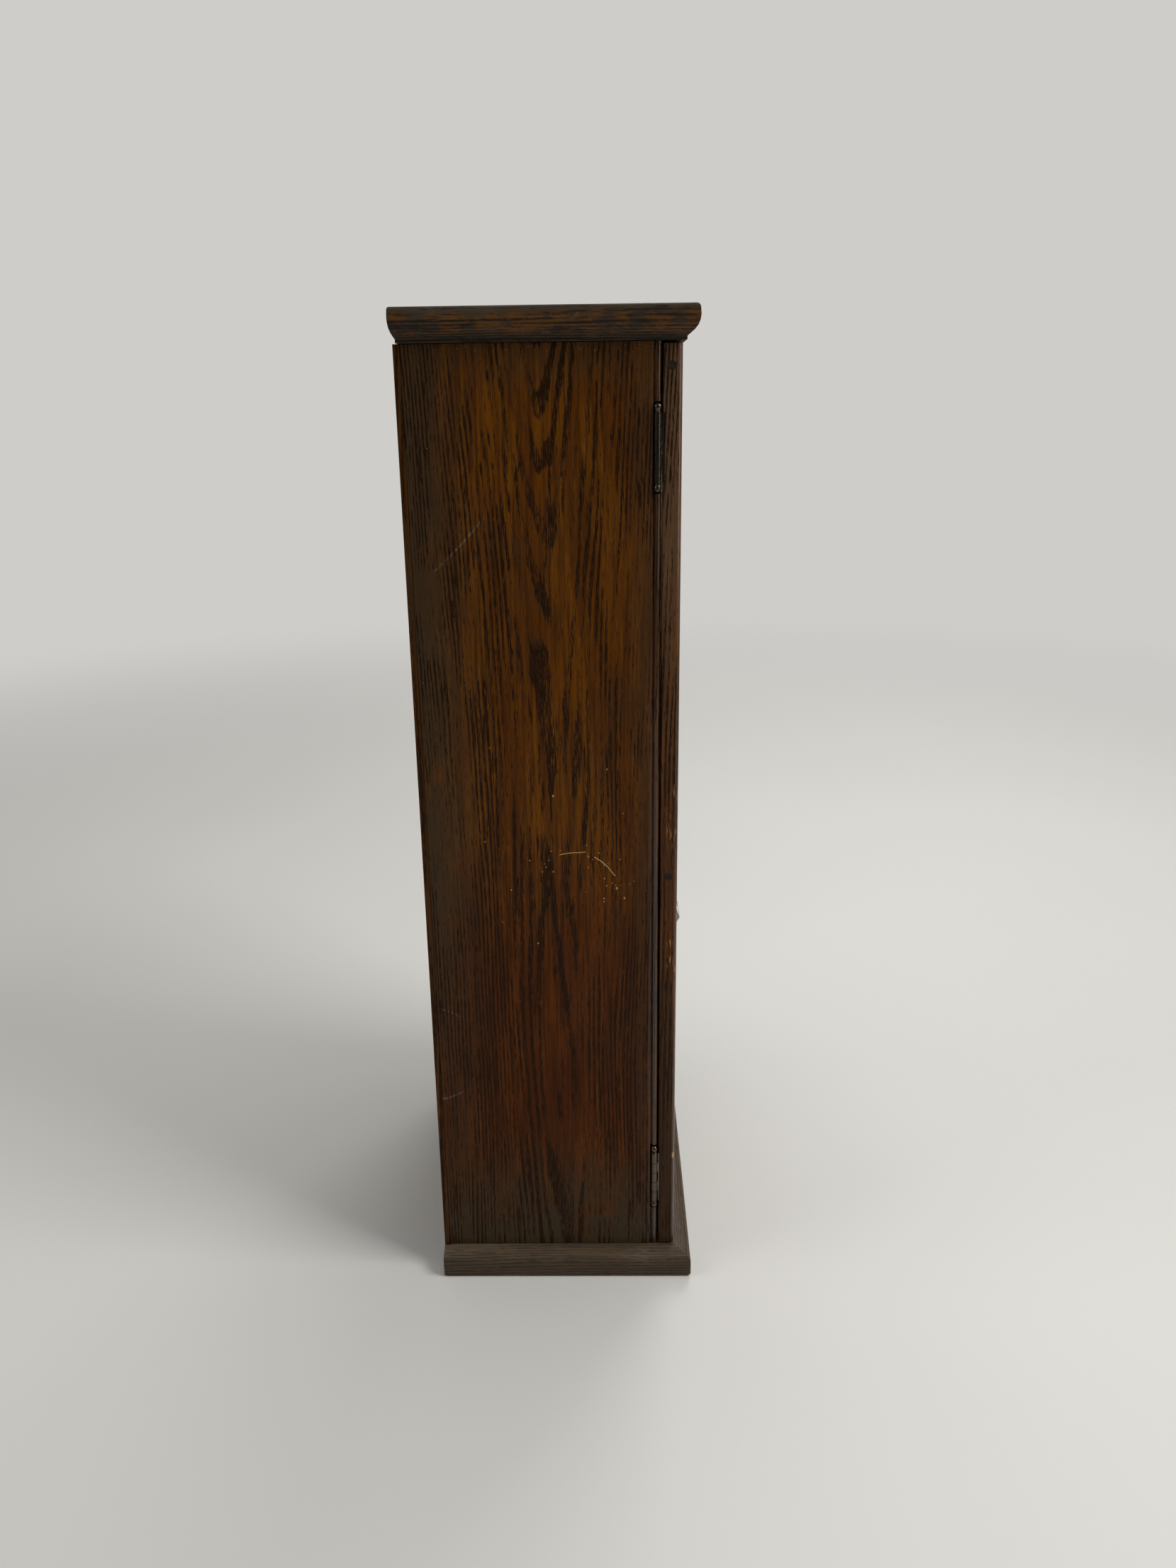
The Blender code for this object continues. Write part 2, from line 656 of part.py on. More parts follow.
def make_hinge_pin(name, middle):
    """The hinge pin: a ring, a neck and a ball at each end."""
    half = BARREL_LENGTH / 2
    ball, ball_middle = 0.0028, half + 0.0042
    end = [(0.0, ball_middle + ball)]
    for degrees in (60, 25, -10, -40):
        angle = math.radians(degrees)
        end.append((ball * math.cos(angle), ball_middle + ball * math.sin(angle)))
    end += [
        (0.0017, half + 0.0012), (0.0027, half + 0.0009), (0.0027, half + GAP), (PIN_RADIUS, half + GAP)
    ]
    profile = end + [(radius, -height) for radius, height in reversed(end)]
    turned(f"{name}_hinge_pin", profile, (HINGE_X, HINGE_Y, middle), "Z", "bronze", sides=12)


# ---------------------------------------------------------------- dial and movement

def make_dial():
    barrel_x, _, barrel_z = BARREL["at"]
    x, low, high = INNER - GAP, WINDOW_BOTTOM - 0.010, CASE_TOP - 0.0015
    mat = [
        [(-x, low), (x, low), (x, high), (-x, high)], circle(0.030, 32, (0, BOB_Z)),
        circle(0.007, 16, (0, CENTRE_Z)), circle(0.0058, 12, (barrel_x, barrel_z)),
    ]
    plate("dial_mat", mat, -0.0655, -0.0605, "Y", "oak_dark")
    face = [
        circle(DIAL_RADIUS, 48, (0, CENTRE_Z)), circle(0.0042, 12, (0, CENTRE_Z)),
        circle(0.0048, 12, (barrel_x, barrel_z)),
    ]
    plate("dial", face, -0.0671, -0.0659, "Y", "enamel")
    profile = [
        (0.1020, -0.0003), (0.1045, -0.0003), (0.1045, 0.0013), (0.1090, 0.0013), (0.1090, -0.0025),
        (0.1050, -0.0050), (0.1020, -0.0046),
    ]
    turned("dial_bezel", profile, (0, -0.0671, CENTRE_Z), "Y", "brass", sides=32, closed=True)


def hand_outline(length, width, tail, degrees):
    """A spade hand: a boss, a slim stem, a leaf near the end, and a short tail, turned clockwise."""
    half = [
        (width * 0.35, -tail), (width * 0.30, 0.0), (width * 0.22, length * 0.55),
        (width * 0.24, length * 0.62), (width * 0.95, length * 0.70), (width, length * 0.76),
        (width * 0.55, length * 0.84), (width * 0.15, length * 0.92),
    ]
    outline = half + [(0, length)] + [(-x, z) for x, z in reversed(half)]
    cosine, sine = math.cos(math.radians(degrees)), math.sin(math.radians(degrees))
    return [(x * cosine + z * sine, z * cosine - x * sine) for x, z in outline]


def make_hands():
    """The hands, showing a little after ten."""
    middle = (0, CENTRE_Z)
    minute_outline = hand_outline(0.092, 0.006, 0.016, 6 * SHOWN_MINUTES)
    hour_outline = hand_outline(0.064, 0.0085, 0.012, 30 * (SHOWN_HOURS + SHOWN_MINUTES / 60))
    hands = (
        # name, joint, outline, y of its back, boss radius, bore radius
        ("minute_hand", MINUTE, minute_outline, -0.0723, 0.0052, 0.0019),
        ("hour_hand", HOUR, hour_outline, -0.0706, 0.0062, 0.0040),
    )
    for name, joint, outline, back, boss_radius, bore_radius in hands:
        hand = plate(name, [outline], back - 0.0008, back, "Y", "iron", joint, middle)
        boss = rod(f"{name}_boss", (0, back - 0.0010, CENTRE_Z), 0.0012, boss_radius, "Y", "iron", joint)
        bore = rod(f"{name}_bore", (0, back - 0.01, CENTRE_Z), 0.02, bore_radius, "Y", parent=joint)
        join(hand, boss)
        cut(hand, bore)
    pipe = tube("hour_wheel", 0.0025, 0.0037, -0.0717, -0.0545, (0, 0, CENTRE_Z), "Y", "brass", HOUR)
    disc = [gear_outline(24, 0.013), circle(0.0030, 12)]
    join(pipe, plate("hour_disc", disc, -0.0562, -0.0547, "Y", "brass", HOUR, middle))


def arbor_holes():
    """The pivot holes that both plates have."""
    radii = {MINUTE: 0.0024, THIRD: 0.0024, ESCAPE: 0.0024, ANCHOR: 0.0024, BARREL: 0.0048}
    return [circle(radius, 12, (joint["at"][0], joint["at"][2])) for joint, radius in radii.items()]


def make_plates():
    """The movement's plates. The four pillars are riveted to the back plate."""
    low, high = SEAT_TOP + GAP, 0.647
    half = 0.056
    outline = [
        (-half, low), (half, low), (half, high - 0.030), (half - 0.020, high),
        (-half + 0.020, high), (-half, high - 0.030),
    ]
    outlines = [outline, *arbor_holes()]
    front_back = FRONT_PLATE_Y + PLATE_THICKNESS
    plate("movement_front_plate", outlines, FRONT_PLATE_Y, front_back, "Y")
    back = plate("movement_back_plate", outlines, BACK_PLATE_Y, BACK_PLATE_Y + PLATE_THICKNESS, "Y")
    start = front_back + GAP
    reach = BACK_PLATE_Y + PLATE_THICKNESS / 2 - start
    for side in (-1, 1):
        for x, z in ((0.050, low + 0.006), (0.040, high - 0.020)):
            join(back, rod("pillar", (side * x, start, z), reach, 0.0035, "Y", "brass", sides=12))


def wheel(name, joint, teeth, radius, faces, arbor, pinion=None, arms=0, start=0.0):
    """A wheel on its arbor. faces are y of its front and back, arbor is (start, end, radius) along y,
    and pinion is (leaves, radius, front, back, turn)."""
    x, _, z = joint["at"]
    holes = crossings(0.005, radius * 0.80, arms, 0.0030) if arms else []
    outlines = [gear_outline(teeth, radius, start=start), *holes]
    disc = plate(name, outlines, *faces, "Y", "brass", joint, (x, z))
    low, high, thick = arbor
    arbor_rod = rod(f"{name}_arbor", (x, low, z), high - low, thick, "Y", "steel", joint, 12)
    join(disc, arbor_rod, solver="MANIFOLD")
    if pinion:
        leaves, pitch_radius, front, back, turn = pinion
        outline = gear_outline(leaves, pitch_radius, 0.80, 0.26, turn)
        leaf = plate(f"{name}_pinion", [outline], front, back, "Y", "steel", joint, (x, z))
        join(disc, leaf, solver="MANIFOLD")
    return disc


def mitre(name, start, rotation, parent):
    """A mitre gear's blank: a cone frustum from its small end at start, widening along local Z."""
    rise = 0.0044
    mesh = bpy.data.meshes.new(name)
    form = bmesh.new()
    bmesh.ops.create_cone(
        form, cap_ends=True, segments=18, radius1=0.0041, radius2=0.0085, depth=rise
    )
    bmesh.ops.translate(form, vec=(0, 0, rise / 2), verts=form.verts)
    form.to_mesh(mesh)
    form.free()
    return new_object(name, mesh, "brass", start, rotation, parent)


def bearing(joint, other):
    """The direction from one arbor to another, seen from the front."""
    (x0, _, z0), (x1, _, z1) = joint["at"], other["at"]
    return math.atan2(z1 - z0, x1 - x0)


def make_train():
    """The wheels from the spring barrel to the escape wheel."""
    front, back = FRONT_PLATE_Y + 0.0004, BACK_PLATE_Y + PLATE_THICKNESS - 0.0004
    towards_barrel = bearing(MINUTE, BARREL)
    towards_third = bearing(MINUTE, THIRD)
    towards_escape = bearing(THIRD, ESCAPE)
    half_leaf = math.pi / 6
    centre = wheel(
        "centre_wheel", MINUTE, 48, 0.024, (-0.0285, -0.0270), (-0.0742, back, 0.0018), arms=4,
        pinion=(8, 0.0043, -0.0345, -0.0315, towards_barrel), start=towards_third,
    )
    start = (0, DRIVE_Y - MITRE_START, CENTRE_Z)
    join(centre, mitre("centre_mitre", start, (math.pi / 2, 0, 0), MINUTE))
    wheel(
        "third_wheel", THIRD, 45, 0.018, (-0.0115, -0.0100), (front, back, 0.0015), arms=4,
        pinion=(6, 0.0030, -0.0290, -0.0265, bearing(THIRD, MINUTE) + half_leaf), start=towards_escape,
    )
    wheel(
        "escape_wheel", ESCAPE, 30, 0.0135, (-0.0190, -0.0175), (front, back, 0.0013), arms=4,
        pinion=(6, 0.0024, -0.0120, -0.0095, bearing(ESCAPE, THIRD) + half_leaf),
    )
    teeth = 48
    barrel = wheel(
        "mainspring_barrel", BARREL, teeth, 0.0259, (-0.0340, -0.0320), (-0.0705, back, 0.0030),
        start=bearing(BARREL, MINUTE) + math.pi / teeth,
    )
    x, _, z = BARREL["at"]
    join(barrel, rod("barrel_drum", (x, -0.0485, z), 0.0147, 0.0215, "Y", "brass", BARREL, 32))


def make_anchor():
    """The pallet anchor astride the escape wheel, its arbor, and the crutch that drives the pendulum."""
    x, _, z = ANCHOR["at"]
    wheel_centre = (0.0, ESCAPE["at"][2] - z)
    arms = [
        *arc(wheel_centre, 0.0160, 22, 158, 6), *arc(wheel_centre, 0.0186, 158, 110, 3),
        (-0.0040, 0.0020), (0.0, 0.0036), (0.0040, 0.0020), *arc(wheel_centre, 0.0186, 70, 22, 3),
    ]
    anchor = plate("pallet_anchor", [arms], -0.0192, -0.0173, "Y", "steel", ANCHOR, (x, z))
    start = FRONT_PLATE_Y + 0.0004
    crutch_front, crutch_back = PENDULUM_Y - 0.0090, PENDULUM_Y - 0.0068
    arbor_length = PENDULUM_Y - 0.0041 - start
    arbor = rod("anchor_arbor", (x, start, z), arbor_length, 0.0018, "Y", "steel", ANCHOR, 12)
    low, high = CENTRE_Z - 0.002, CENTRE_Z + 0.003
    bars = (
        # name, left, right, top, back
        ("crutch", -0.0035, 0.0035, z + 0.003, crutch_back),
        ("crutch_foot", -0.0075, 0.0075, high, crutch_back),
        ("crutch_finger_left", -0.0070, -0.0046, high, PENDULUM_Y + 0.0030),
        ("crutch_finger_right", 0.0046, 0.0070, high, PENDULUM_Y + 0.0030),
    )
    forms = [
        box(name, (x + left, crutch_front, low), (x + right, back, top), "steel", ANCHOR)
        for name, left, right, top, back in bars
    ]
    join(anchor, arbor, *forms)


def make_pendulum():
    """The pendulum on its bracket: an eye on a peg, a rod and a lens-shaped bob."""
    wall = BOARD_BACK - GAP
    bracket = box(
        "suspension_bracket", (-0.012, 0.040, PIVOT_Z + 0.006), (0.012, wall, PIVOT_Z + 0.010),
        "iron", bevel=0.0006,
    )
    foot = box(
        "bracket_foot", (-0.012, wall - 0.003, PIVOT_Z - 0.014), (0.012, wall, PIVOT_Z + 0.012), "iron"
    )
    hook = box(
        "bracket_hook", (-0.006, PENDULUM_Y + 0.0045, PIVOT_Z - 0.004),
        (0.006, PENDULUM_Y + 0.0070, PIVOT_Z + 0.007), "iron",
    )
    peg = rod("bracket_peg", (0, PENDULUM_Y - 0.0040, PIVOT_Z), 0.0110, 0.0012, "Y", "iron", sides=10)
    join(bracket, foot, hook, peg)
    rod_end, rod_top = BOB_Z - BOB_RADIUS - 0.012, PIVOT_Z - 0.006
    stem = rod(
        "pendulum_rod", (0, PENDULUM_Y, rod_end), rod_top - rod_end, 0.0020, "Z", "steel", PENDULUM, 12
    )
    eye = rod("pendulum_eye", (0, PENDULUM_Y - 0.0020, PIVOT_Z), 0.0040, 0.0042, "Y", "brass", PENDULUM)
    neck = box(
        "pendulum_neck", (-0.0020, PENDULUM_Y - 0.0015, PIVOT_Z - 0.012),
        (0.0020, PENDULUM_Y + 0.0015, PIVOT_Z - 0.002), "brass", PENDULUM,
    )
    join(stem, neck, eye)
    eye_bore = rod(
        "pendulum_bore", (0, PENDULUM_Y - 0.01, PIVOT_Z), 0.02, 0.0016, "Y", parent=PENDULUM, sides=12
    )
    cut(stem, eye_bore)
    lens = [
        (0.0, 0.0075), (0.012, 0.0066), (0.022, 0.0045), (BOB_RADIUS - 0.002, 0.0014),
        (BOB_RADIUS, 0.0004),
    ]
    profile = lens + [(radius, -height) for radius, height in reversed(lens)]
    bob = turned("pendulum_bob", profile, (0, PENDULUM_Y, BOB_Z), "Y", "brass", PENDULUM, 24)
    bob_bore = rod(
        "bob_bore", (0, PENDULUM_Y, BOB_Z - 0.05), 0.1, 0.0020 + GAP, "Z", parent=PENDULUM, sides=12
    )
    cut(bob, bob_bore)


# ---------------------------------------------------------------- printing unit

def make_frame_plate(side):
    """A side plate of the printing unit, with bearings for its shafts and a post for a ribbon spool."""
    name = "recorder_frame_left" if side < 0 else "recorder_frame_right"
    foot = BASE_TOP + GAP
    outline = [
        (-0.0715, foot), (-0.0560, foot), (-0.0480, foot + 0.022), (0.0080, foot + 0.022),
        (0.0160, foot), (0.0300, foot), (0.0300, 0.150), (0.0120, 0.262), (-0.0440, 0.262),
        (-0.0715, 0.160),
    ]
    holes = [
        circle(0.0034, 12, (DRIVE_Y, TYPE_Z)), circle(0.0029, 12, (HAMMER_Y, HAMMER_Z)),
        circle(0.0045, 12, (LEVER_Y, LEVER_Z)),
        circle(0.016, 20, (0.006, 0.165)), circle(0.012, 20, (-0.028, 0.130)),
    ]
    low, high = sorted((side * FRAME_HALF, side * (FRAME_HALF + 0.003)))
    made = plate(name, [outline, *holes], low, high, "X", "iron")
    near, far = sorted((side * 0.0460, side * (FRAME_HALF + 0.001)))
    lug = box(f"{name}_lug", (near, -0.0405, 0.1745), (far, -0.0275, 0.1770), "iron")
    post = rod(f"{name}_post", (side * SPOOL_X, SPOOL_Y, 0.1760), 0.0275, 0.0016, "Z", "iron", sides=12)
    join(made, lug, post)


def make_frame():
    make_frame_plate(-1)
    make_frame_plate(1)
    length = 2 * (FRAME_HALF - GAP)
    for name, z in (("chute_bar_lower", 0.090), ("chute_bar_upper", 0.245)):
        rod(name, (-FRAME_HALF + GAP, CHUTE_BACK + GAP + 0.004, z), length, 0.004, "X", "iron")


def make_chute():
    """The fixed card chute: a flat tube with a floor, a flared mouth and a printing window."""
    wall = 0.0012
    out, front, back = CHUTE_HALF, CHUTE_FRONT, CHUTE_BACK
    outer = [(-out, front), (out, front), (out, back), (-out, back)]
    x, y0, y1 = out - wall, front + wall, back - wall
    inner = [(-x, y0), (x, y0), (x, y1), (-x, y1)]
    chute = plate("card_chute", [outer, inner], 0.070, CHUTE_TOP, "Z", "nickel")
    floor = box("chute_floor", (-out, front, 0.069), (out, back, 0.0705), "nickel")
    guide = box("chute_guide", (-out, y1, CHUTE_TOP - 0.001), (out, back, 0.262), "nickel")
    ramp = [
        (front, CHUTE_TOP - 0.003), (y0, CHUTE_TOP - 0.002),
        (front - 0.0220, CHUTE_TOP + 0.0250), (front - 0.0230, CHUTE_TOP + 0.0240),
    ]
    mouth = plate("chute_mouth", [ramp], -out, out, "X", "nickel")
    join(chute, floor, guide, mouth)
    cut(chute, box("print_window", (-0.039, -0.06, 0.176), (-0.007, -0.03, 0.204)))


def make_type_wheels():
    """The type shaft with its mitre gear and minute wheel, the hour wheel, and the drive rod."""
    middle = (DRIVE_Y, TYPE_Z)
    shaft = rod("minute_type_wheel", (-SHAFT_HALF, *middle), 2 * SHAFT_HALF, 0.0030, "X", "steel", TYPE)
    disc = plate(
        "minute_type_disc", [circle(TYPE_RADIUS, 60)], -0.034, -0.024, "X", "brass", TYPE, middle
    )
    join(shaft, disc, mitre("type_mitre", (-MITRE_START, *middle), (0, -math.pi / 2, 0), TYPE))
    outlines = [circle(TYPE_RADIUS, 48), circle(0.0034, 12)]
    plate("hour_type_wheel", outlines, -0.0232, -0.0132, "X", "brass", TYPE_HOUR, middle)
    low, high = TYPE_Z + MITRE_START, CENTRE_Z - MITRE_START
    stem = rod(
        "drive_rod", (0, DRIVE_Y, low + 0.0005), high - low - 0.0010, 0.0022, "Z", "steel", DRIVE, 12
    )
    join(
        stem,
        mitre("drive_mitre_low", (0, DRIVE_Y, low), (0, 0, 0), DRIVE),
        mitre("drive_mitre_high", (0, DRIVE_Y, high), (math.pi, 0, 0), DRIVE),
    )


def make_hammer():
    """The hammer on its shaft. Its head stands clear in front of the chute's window."""
    shaft = rod(
        "hammer", (-SHAFT_HALF, HAMMER_Y, HAMMER_Z), 2 * SHAFT_HALF, 0.0025, "X", "steel", HAMMER, 12
    )
    arm = box(
        "hammer_arm", (-0.0275, HAMMER_Y - 0.002, HAMMER_Z), (-0.0195, HAMMER_Y + 0.002, 0.184),
        "steel", HAMMER,
    )
    head = box(
        "hammer_head", (-0.0345, HAMMER_Y - 0.006, 0.183), (-0.0125, HAMMER_Y + 0.005, 0.197),
        "steel", HAMMER, 0.0008,
    )
    join(shaft, arm, head)


def make_ribbon():
    """The two ribbon spools on their posts, and the ribbon between them past the type wheels."""
    bottom, top = 0.1800, 0.2000
    for side, name in ((-1, "ribbon_spool_left"), (1, "ribbon_spool_right")):
        joint = new_empty(f"{name}_axis", (side * SPOOL_X, SPOOL_Y, 0), ASSEMBLY)
        profile = [
            (0.0078, top), (0.0078, top - 0.0010), (0.0065, top - 0.0010), (0.0065, bottom + 0.0010),
            (0.0078, bottom + 0.0010), (0.0078, bottom), (0.0020, bottom), (0.0020, top),
        ]
        turned(name, profile, (side * SPOOL_X, SPOOL_Y, 0), "Z", "iron", joint, 20, closed=True)
    box("ink_ribbon", (-SPOOL_X, -0.0417, 0.1830), (SPOOL_X, -0.0413, 0.1970), "ribbon")


def make_lever():
    """The lever shaft with its bell striker, the hand lever outside the case, its knob and spring."""
    end = HALF_WIDTH + 0.0095
    striker_x, start = -0.089, -0.094
    axis = (LEVER_Y, LEVER_Z)
    shaft = rod("lever_shaft", (start, *axis), end - start, 0.0040, "X", "steel", LEVER)
    striker = rod("striker_arm", (striker_x, *axis), 0.040, 0.0013, "Z", "steel", LEVER, 8)
    collar = rod("striker_collar", (striker_x - 0.004, *axis), 0.008, 0.0065, "X", "steel", LEVER)
    turns = [math.pi * k / 6 for k in range(7)]
    half_circle = [(0.003 * math.sin(turn), 0.003 * math.cos(turn)) for turn in turns]
    ball_at = (striker_x, LEVER_Y, LEVER_Z + 0.041)
    ball = turned("striker_ball", half_circle, ball_at, "Z", "brass", LEVER, 12)
    join(shaft, collar, striker, ball)
    x0, x1 = HALF_WIDTH + 0.0020, HALF_WIDTH + 0.0080
    angle = math.degrees(math.atan2(KNOB_Z - LEVER_Z, KNOB_Y - LEVER_Y))
    foot = arc(axis, 0.0125, angle + 75, angle + 285, 8)
    tip = arc((KNOB_Y, KNOB_Z), 0.0065, angle - 85, angle + 85, 5)
    plate("punch_lever", [foot + tip, circle(0.0040 + GAP, 16, axis)], x0, x1, "X", "iron", LEVER)
    reach = KNOB_REACH - 0.0080
    knob = [
        (0.0, reach), (0.0045, reach - 0.0006), (0.0085, reach - 0.0035), (0.0100, reach - 0.0085),
        (0.0088, reach - 0.0135), (0.0050, reach - 0.0180), (0.0040, 0.0045), (0.0052, 0.0020),
        (0.0052, GAP), (0.0, GAP),
    ]
    turned("lever_knob", knob, (x1, KNOB_Y, KNOB_Z), "X", "iron", LEVER, 16)
    tube(
        "lever_bush", 0.0045, 0.0062 - GAP, 0.0, SIDE_THICKNESS + 0.0005, (INNER - 0.0005, *axis), "X"
    )
    tube("lever_return_spring", 0.0048, 0.0064, 0.0, 0.024, (FRAME_HALF + 0.0045, *axis), "X", "steel")


def make_bell():
    """The bell on its post, in reach of the striker."""
    at = (-0.100, -0.050, 0)
    rim, crown, wall = 0.150, 0.170, 0.0013
    low = rim + 0.0008
    dome = [math.radians(degrees) for degrees in (65, 40, 15)]
    outside = [(0.0245 * math.cos(angle), low + (crown - low) * math.sin(angle)) for angle in dome]
    inside = [(radius - wall, height - wall) for radius, height in reversed(outside)]
    profile = [
        (0.0022, crown), *outside, (0.0250, rim), (0.0234, rim), *inside, (0.0022, crown - 0.0016)
    ]
    turned("bell", profile, at, "Z", "nickel", sides=20, closed=True)
    foot = BASE_TOP + GAP
    post = [
        (0.0, crown + 0.0040), (0.0032, crown + 0.0036), (0.0032, crown + GAP), (0.0018, crown + GAP),
        (0.0018, crown - 0.0030), (0.0045, crown - 0.0034), (0.0030, rim + 0.006),
        (0.0030, foot + 0.004), (0.0100, foot + 0.003), (0.0100, foot), (0.0, foot),
    ]
    turned("bell_stand", post, at, "Z", "iron", sides=16)


make_base()
make_top()
make_sides()
make_back()
make_seat()
make_door()
make_glass()
make_panel()
make_throat()
make_lock()
for hinge_name, hinge_middle in HINGE_HEIGHTS.items():
    make_hinge(hinge_name, hinge_middle)
make_dial()
make_hands()
make_plates()
make_train()
make_anchor()
make_pendulum()
make_frame()
make_chute()
make_type_wheels()
make_hammer()
make_ribbon()
make_lever()
make_bell()
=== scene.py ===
"""The looks of the punch time clock: finishes on every piece of the frame, finer pieces in place of
plain ones, printing on the dial, fastenings and marks of wear, and a plain studio round it.

Every length is in metres, in the frame of the model: +Z up, the door facing -Y, hinges towards -X.
"""

import json
import math
import random

import bmesh
import bpy
from mathutils import Matrix, Vector


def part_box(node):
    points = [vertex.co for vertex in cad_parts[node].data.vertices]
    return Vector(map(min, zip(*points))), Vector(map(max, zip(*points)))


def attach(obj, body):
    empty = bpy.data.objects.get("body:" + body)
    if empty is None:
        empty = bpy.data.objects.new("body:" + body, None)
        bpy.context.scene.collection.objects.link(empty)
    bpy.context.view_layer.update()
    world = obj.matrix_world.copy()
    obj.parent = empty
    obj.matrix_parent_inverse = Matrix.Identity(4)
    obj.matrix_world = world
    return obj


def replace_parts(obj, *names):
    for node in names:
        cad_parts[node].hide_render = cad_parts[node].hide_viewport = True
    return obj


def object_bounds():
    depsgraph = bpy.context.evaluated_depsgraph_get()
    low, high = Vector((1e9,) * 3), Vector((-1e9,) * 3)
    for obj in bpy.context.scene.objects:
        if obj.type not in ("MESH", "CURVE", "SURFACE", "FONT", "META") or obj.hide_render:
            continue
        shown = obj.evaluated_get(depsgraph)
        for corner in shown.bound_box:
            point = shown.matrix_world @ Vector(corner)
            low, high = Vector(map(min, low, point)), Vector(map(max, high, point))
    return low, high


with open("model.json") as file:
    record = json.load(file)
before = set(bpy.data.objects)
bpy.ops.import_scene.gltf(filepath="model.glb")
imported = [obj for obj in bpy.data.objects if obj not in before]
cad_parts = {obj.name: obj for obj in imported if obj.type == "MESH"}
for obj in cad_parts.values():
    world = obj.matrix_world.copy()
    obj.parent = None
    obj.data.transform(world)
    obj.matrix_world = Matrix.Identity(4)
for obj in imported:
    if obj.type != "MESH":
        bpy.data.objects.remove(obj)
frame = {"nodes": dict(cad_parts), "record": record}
cad_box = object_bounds()
NODES = frame["nodes"]
RECORD = frame["record"]
BODY_OF = {node: body for body, members in RECORD["behaviour"]["bodies"].items() for node in members}
SLOT_OF = {row["node"]: row["material_slot"] for row in RECORD["subparts"]}

# ---------------------------------------------------------------- places and fixed values

BASE_LOW, BASE_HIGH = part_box("base_board")
TOP_LOW, TOP_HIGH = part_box("top_board")
SIDE_LOW, SIDE_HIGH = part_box("side_board_left")
STILE_LOW, STILE_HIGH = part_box("door_stile_left")
DIAL_LOW, DIAL_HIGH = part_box("dial")
CENTRE_X = (BASE_LOW.x + BASE_HIGH.x) / 2
HEIGHT = cad_box[1].z
DOOR_FRONT = STILE_LOW.y
DIAL_CENTRE = Vector((CENTRE_X, DIAL_LOW.y, (DIAL_LOW.z + DIAL_HIGH.z) / 2))
DIAL_RADIUS = (DIAL_HIGH.x - DIAL_LOW.x) / 2
SIDE_FACE = SIDE_LOW.x
FAR_SIDE_FACE = 2 * CENTRE_X - SIDE_FACE
ROOM = (0.62, 0.61, 0.585)  # the room's colour behind the clock
RING_SPACING = 0.0024  # from one growth ring of the oak to the next
RING_PULL = 0.035  # how strongly the rings close in on the heart line further along a board
INK_RAISED, INK_SUNK = 0.00006, 0.0002  # how far the dial's printing stands out of it and reaches into it
SHARP = 35  # the angle in degrees from which an edge stays sharp
HEAD_THICK = 0.28  # a screw head's thickness, as a share of its radius


# ---------------------------------------------------------------- camera, lights and floor

def aimed(obj, at, target):
    """Puts a light or camera at a point, looking at another."""
    obj.location = at
    obj.rotation_mode = "QUATERNION"
    obj.rotation_quaternion = (Vector(target) - Vector(at)).to_track_quat("-Z", "Y")


def make_camera():
    """A wide phone lens at the height of the clock's top, square to its hinge side and looking down."""
    away, beside_front, height = 0.8223, 0.0529, 0.697
    down, turn, roll = math.radians(17.63), math.radians(0.97), math.radians(0.76)
    data = bpy.data.cameras.new("camera")
    data.sensor_width = 36
    data.lens = 27.11
    data.clip_start = 0.01
    camera = bpy.data.objects.new("camera", data)
    bpy.context.scene.collection.objects.link(camera)
    forward = Vector((math.cos(down) * math.cos(turn), math.cos(down) * math.sin(turn), -math.sin(down)))
    level = forward.cross(Vector((0, 0, 1))).normalized()
    upright = level.cross(forward)
    right = math.cos(roll) * level - math.sin(roll) * upright
    up = right.cross(forward)
    turned = Matrix((right, up, -forward)).transposed()
    at = Vector((BASE_LOW.x - away, DOOR_FRONT + beside_front, height))
    camera.matrix_world = Matrix.Translation(at) @ turned.to_4x4()
    bpy.context.scene.camera = camera


def make_lights():
    """Soft boxes: a window and a strip before the door, one behind, one overhead, one on the far side."""
    middle = (CENTRE_X, 0, HEIGHT / 2)
    lights = (
        # name, place, width, height, watts, colour
        ("window", (-0.85, -2.1, 2.45), 1.3, 1.3, 48, (1.0, 0.99, 0.97)),
        ("tall_strip", (-1.30, -1.60, 0.80), 0.25, 1.0, 3.5, (0.92, 0.96, 1.0)),
        ("fill", (-0.7, 2.3, 1.9), 1.6, 1.6, 17, (1.0, 0.97, 0.92)),
        ("overhead", (0.2, -0.3, 2.9), 2.2, 2.2, 30, (1.0, 1.0, 1.0)),
        ("far_side", (2.4, -0.9, 2.0), 1.5, 1.5, 28, (1.0, 0.99, 0.97)),
    )
    for name, at, width, height, watts, colour in lights:
        data = bpy.data.lights.new(name, "AREA")
        data.shape = "RECTANGLE"
        data.size, data.size_y = width, height
        data.energy = watts
        data.color = colour
        light = bpy.data.objects.new(name, data)
        bpy.context.scene.collection.objects.link(light)
        light.visible_camera = False
        aimed(light, at, middle)


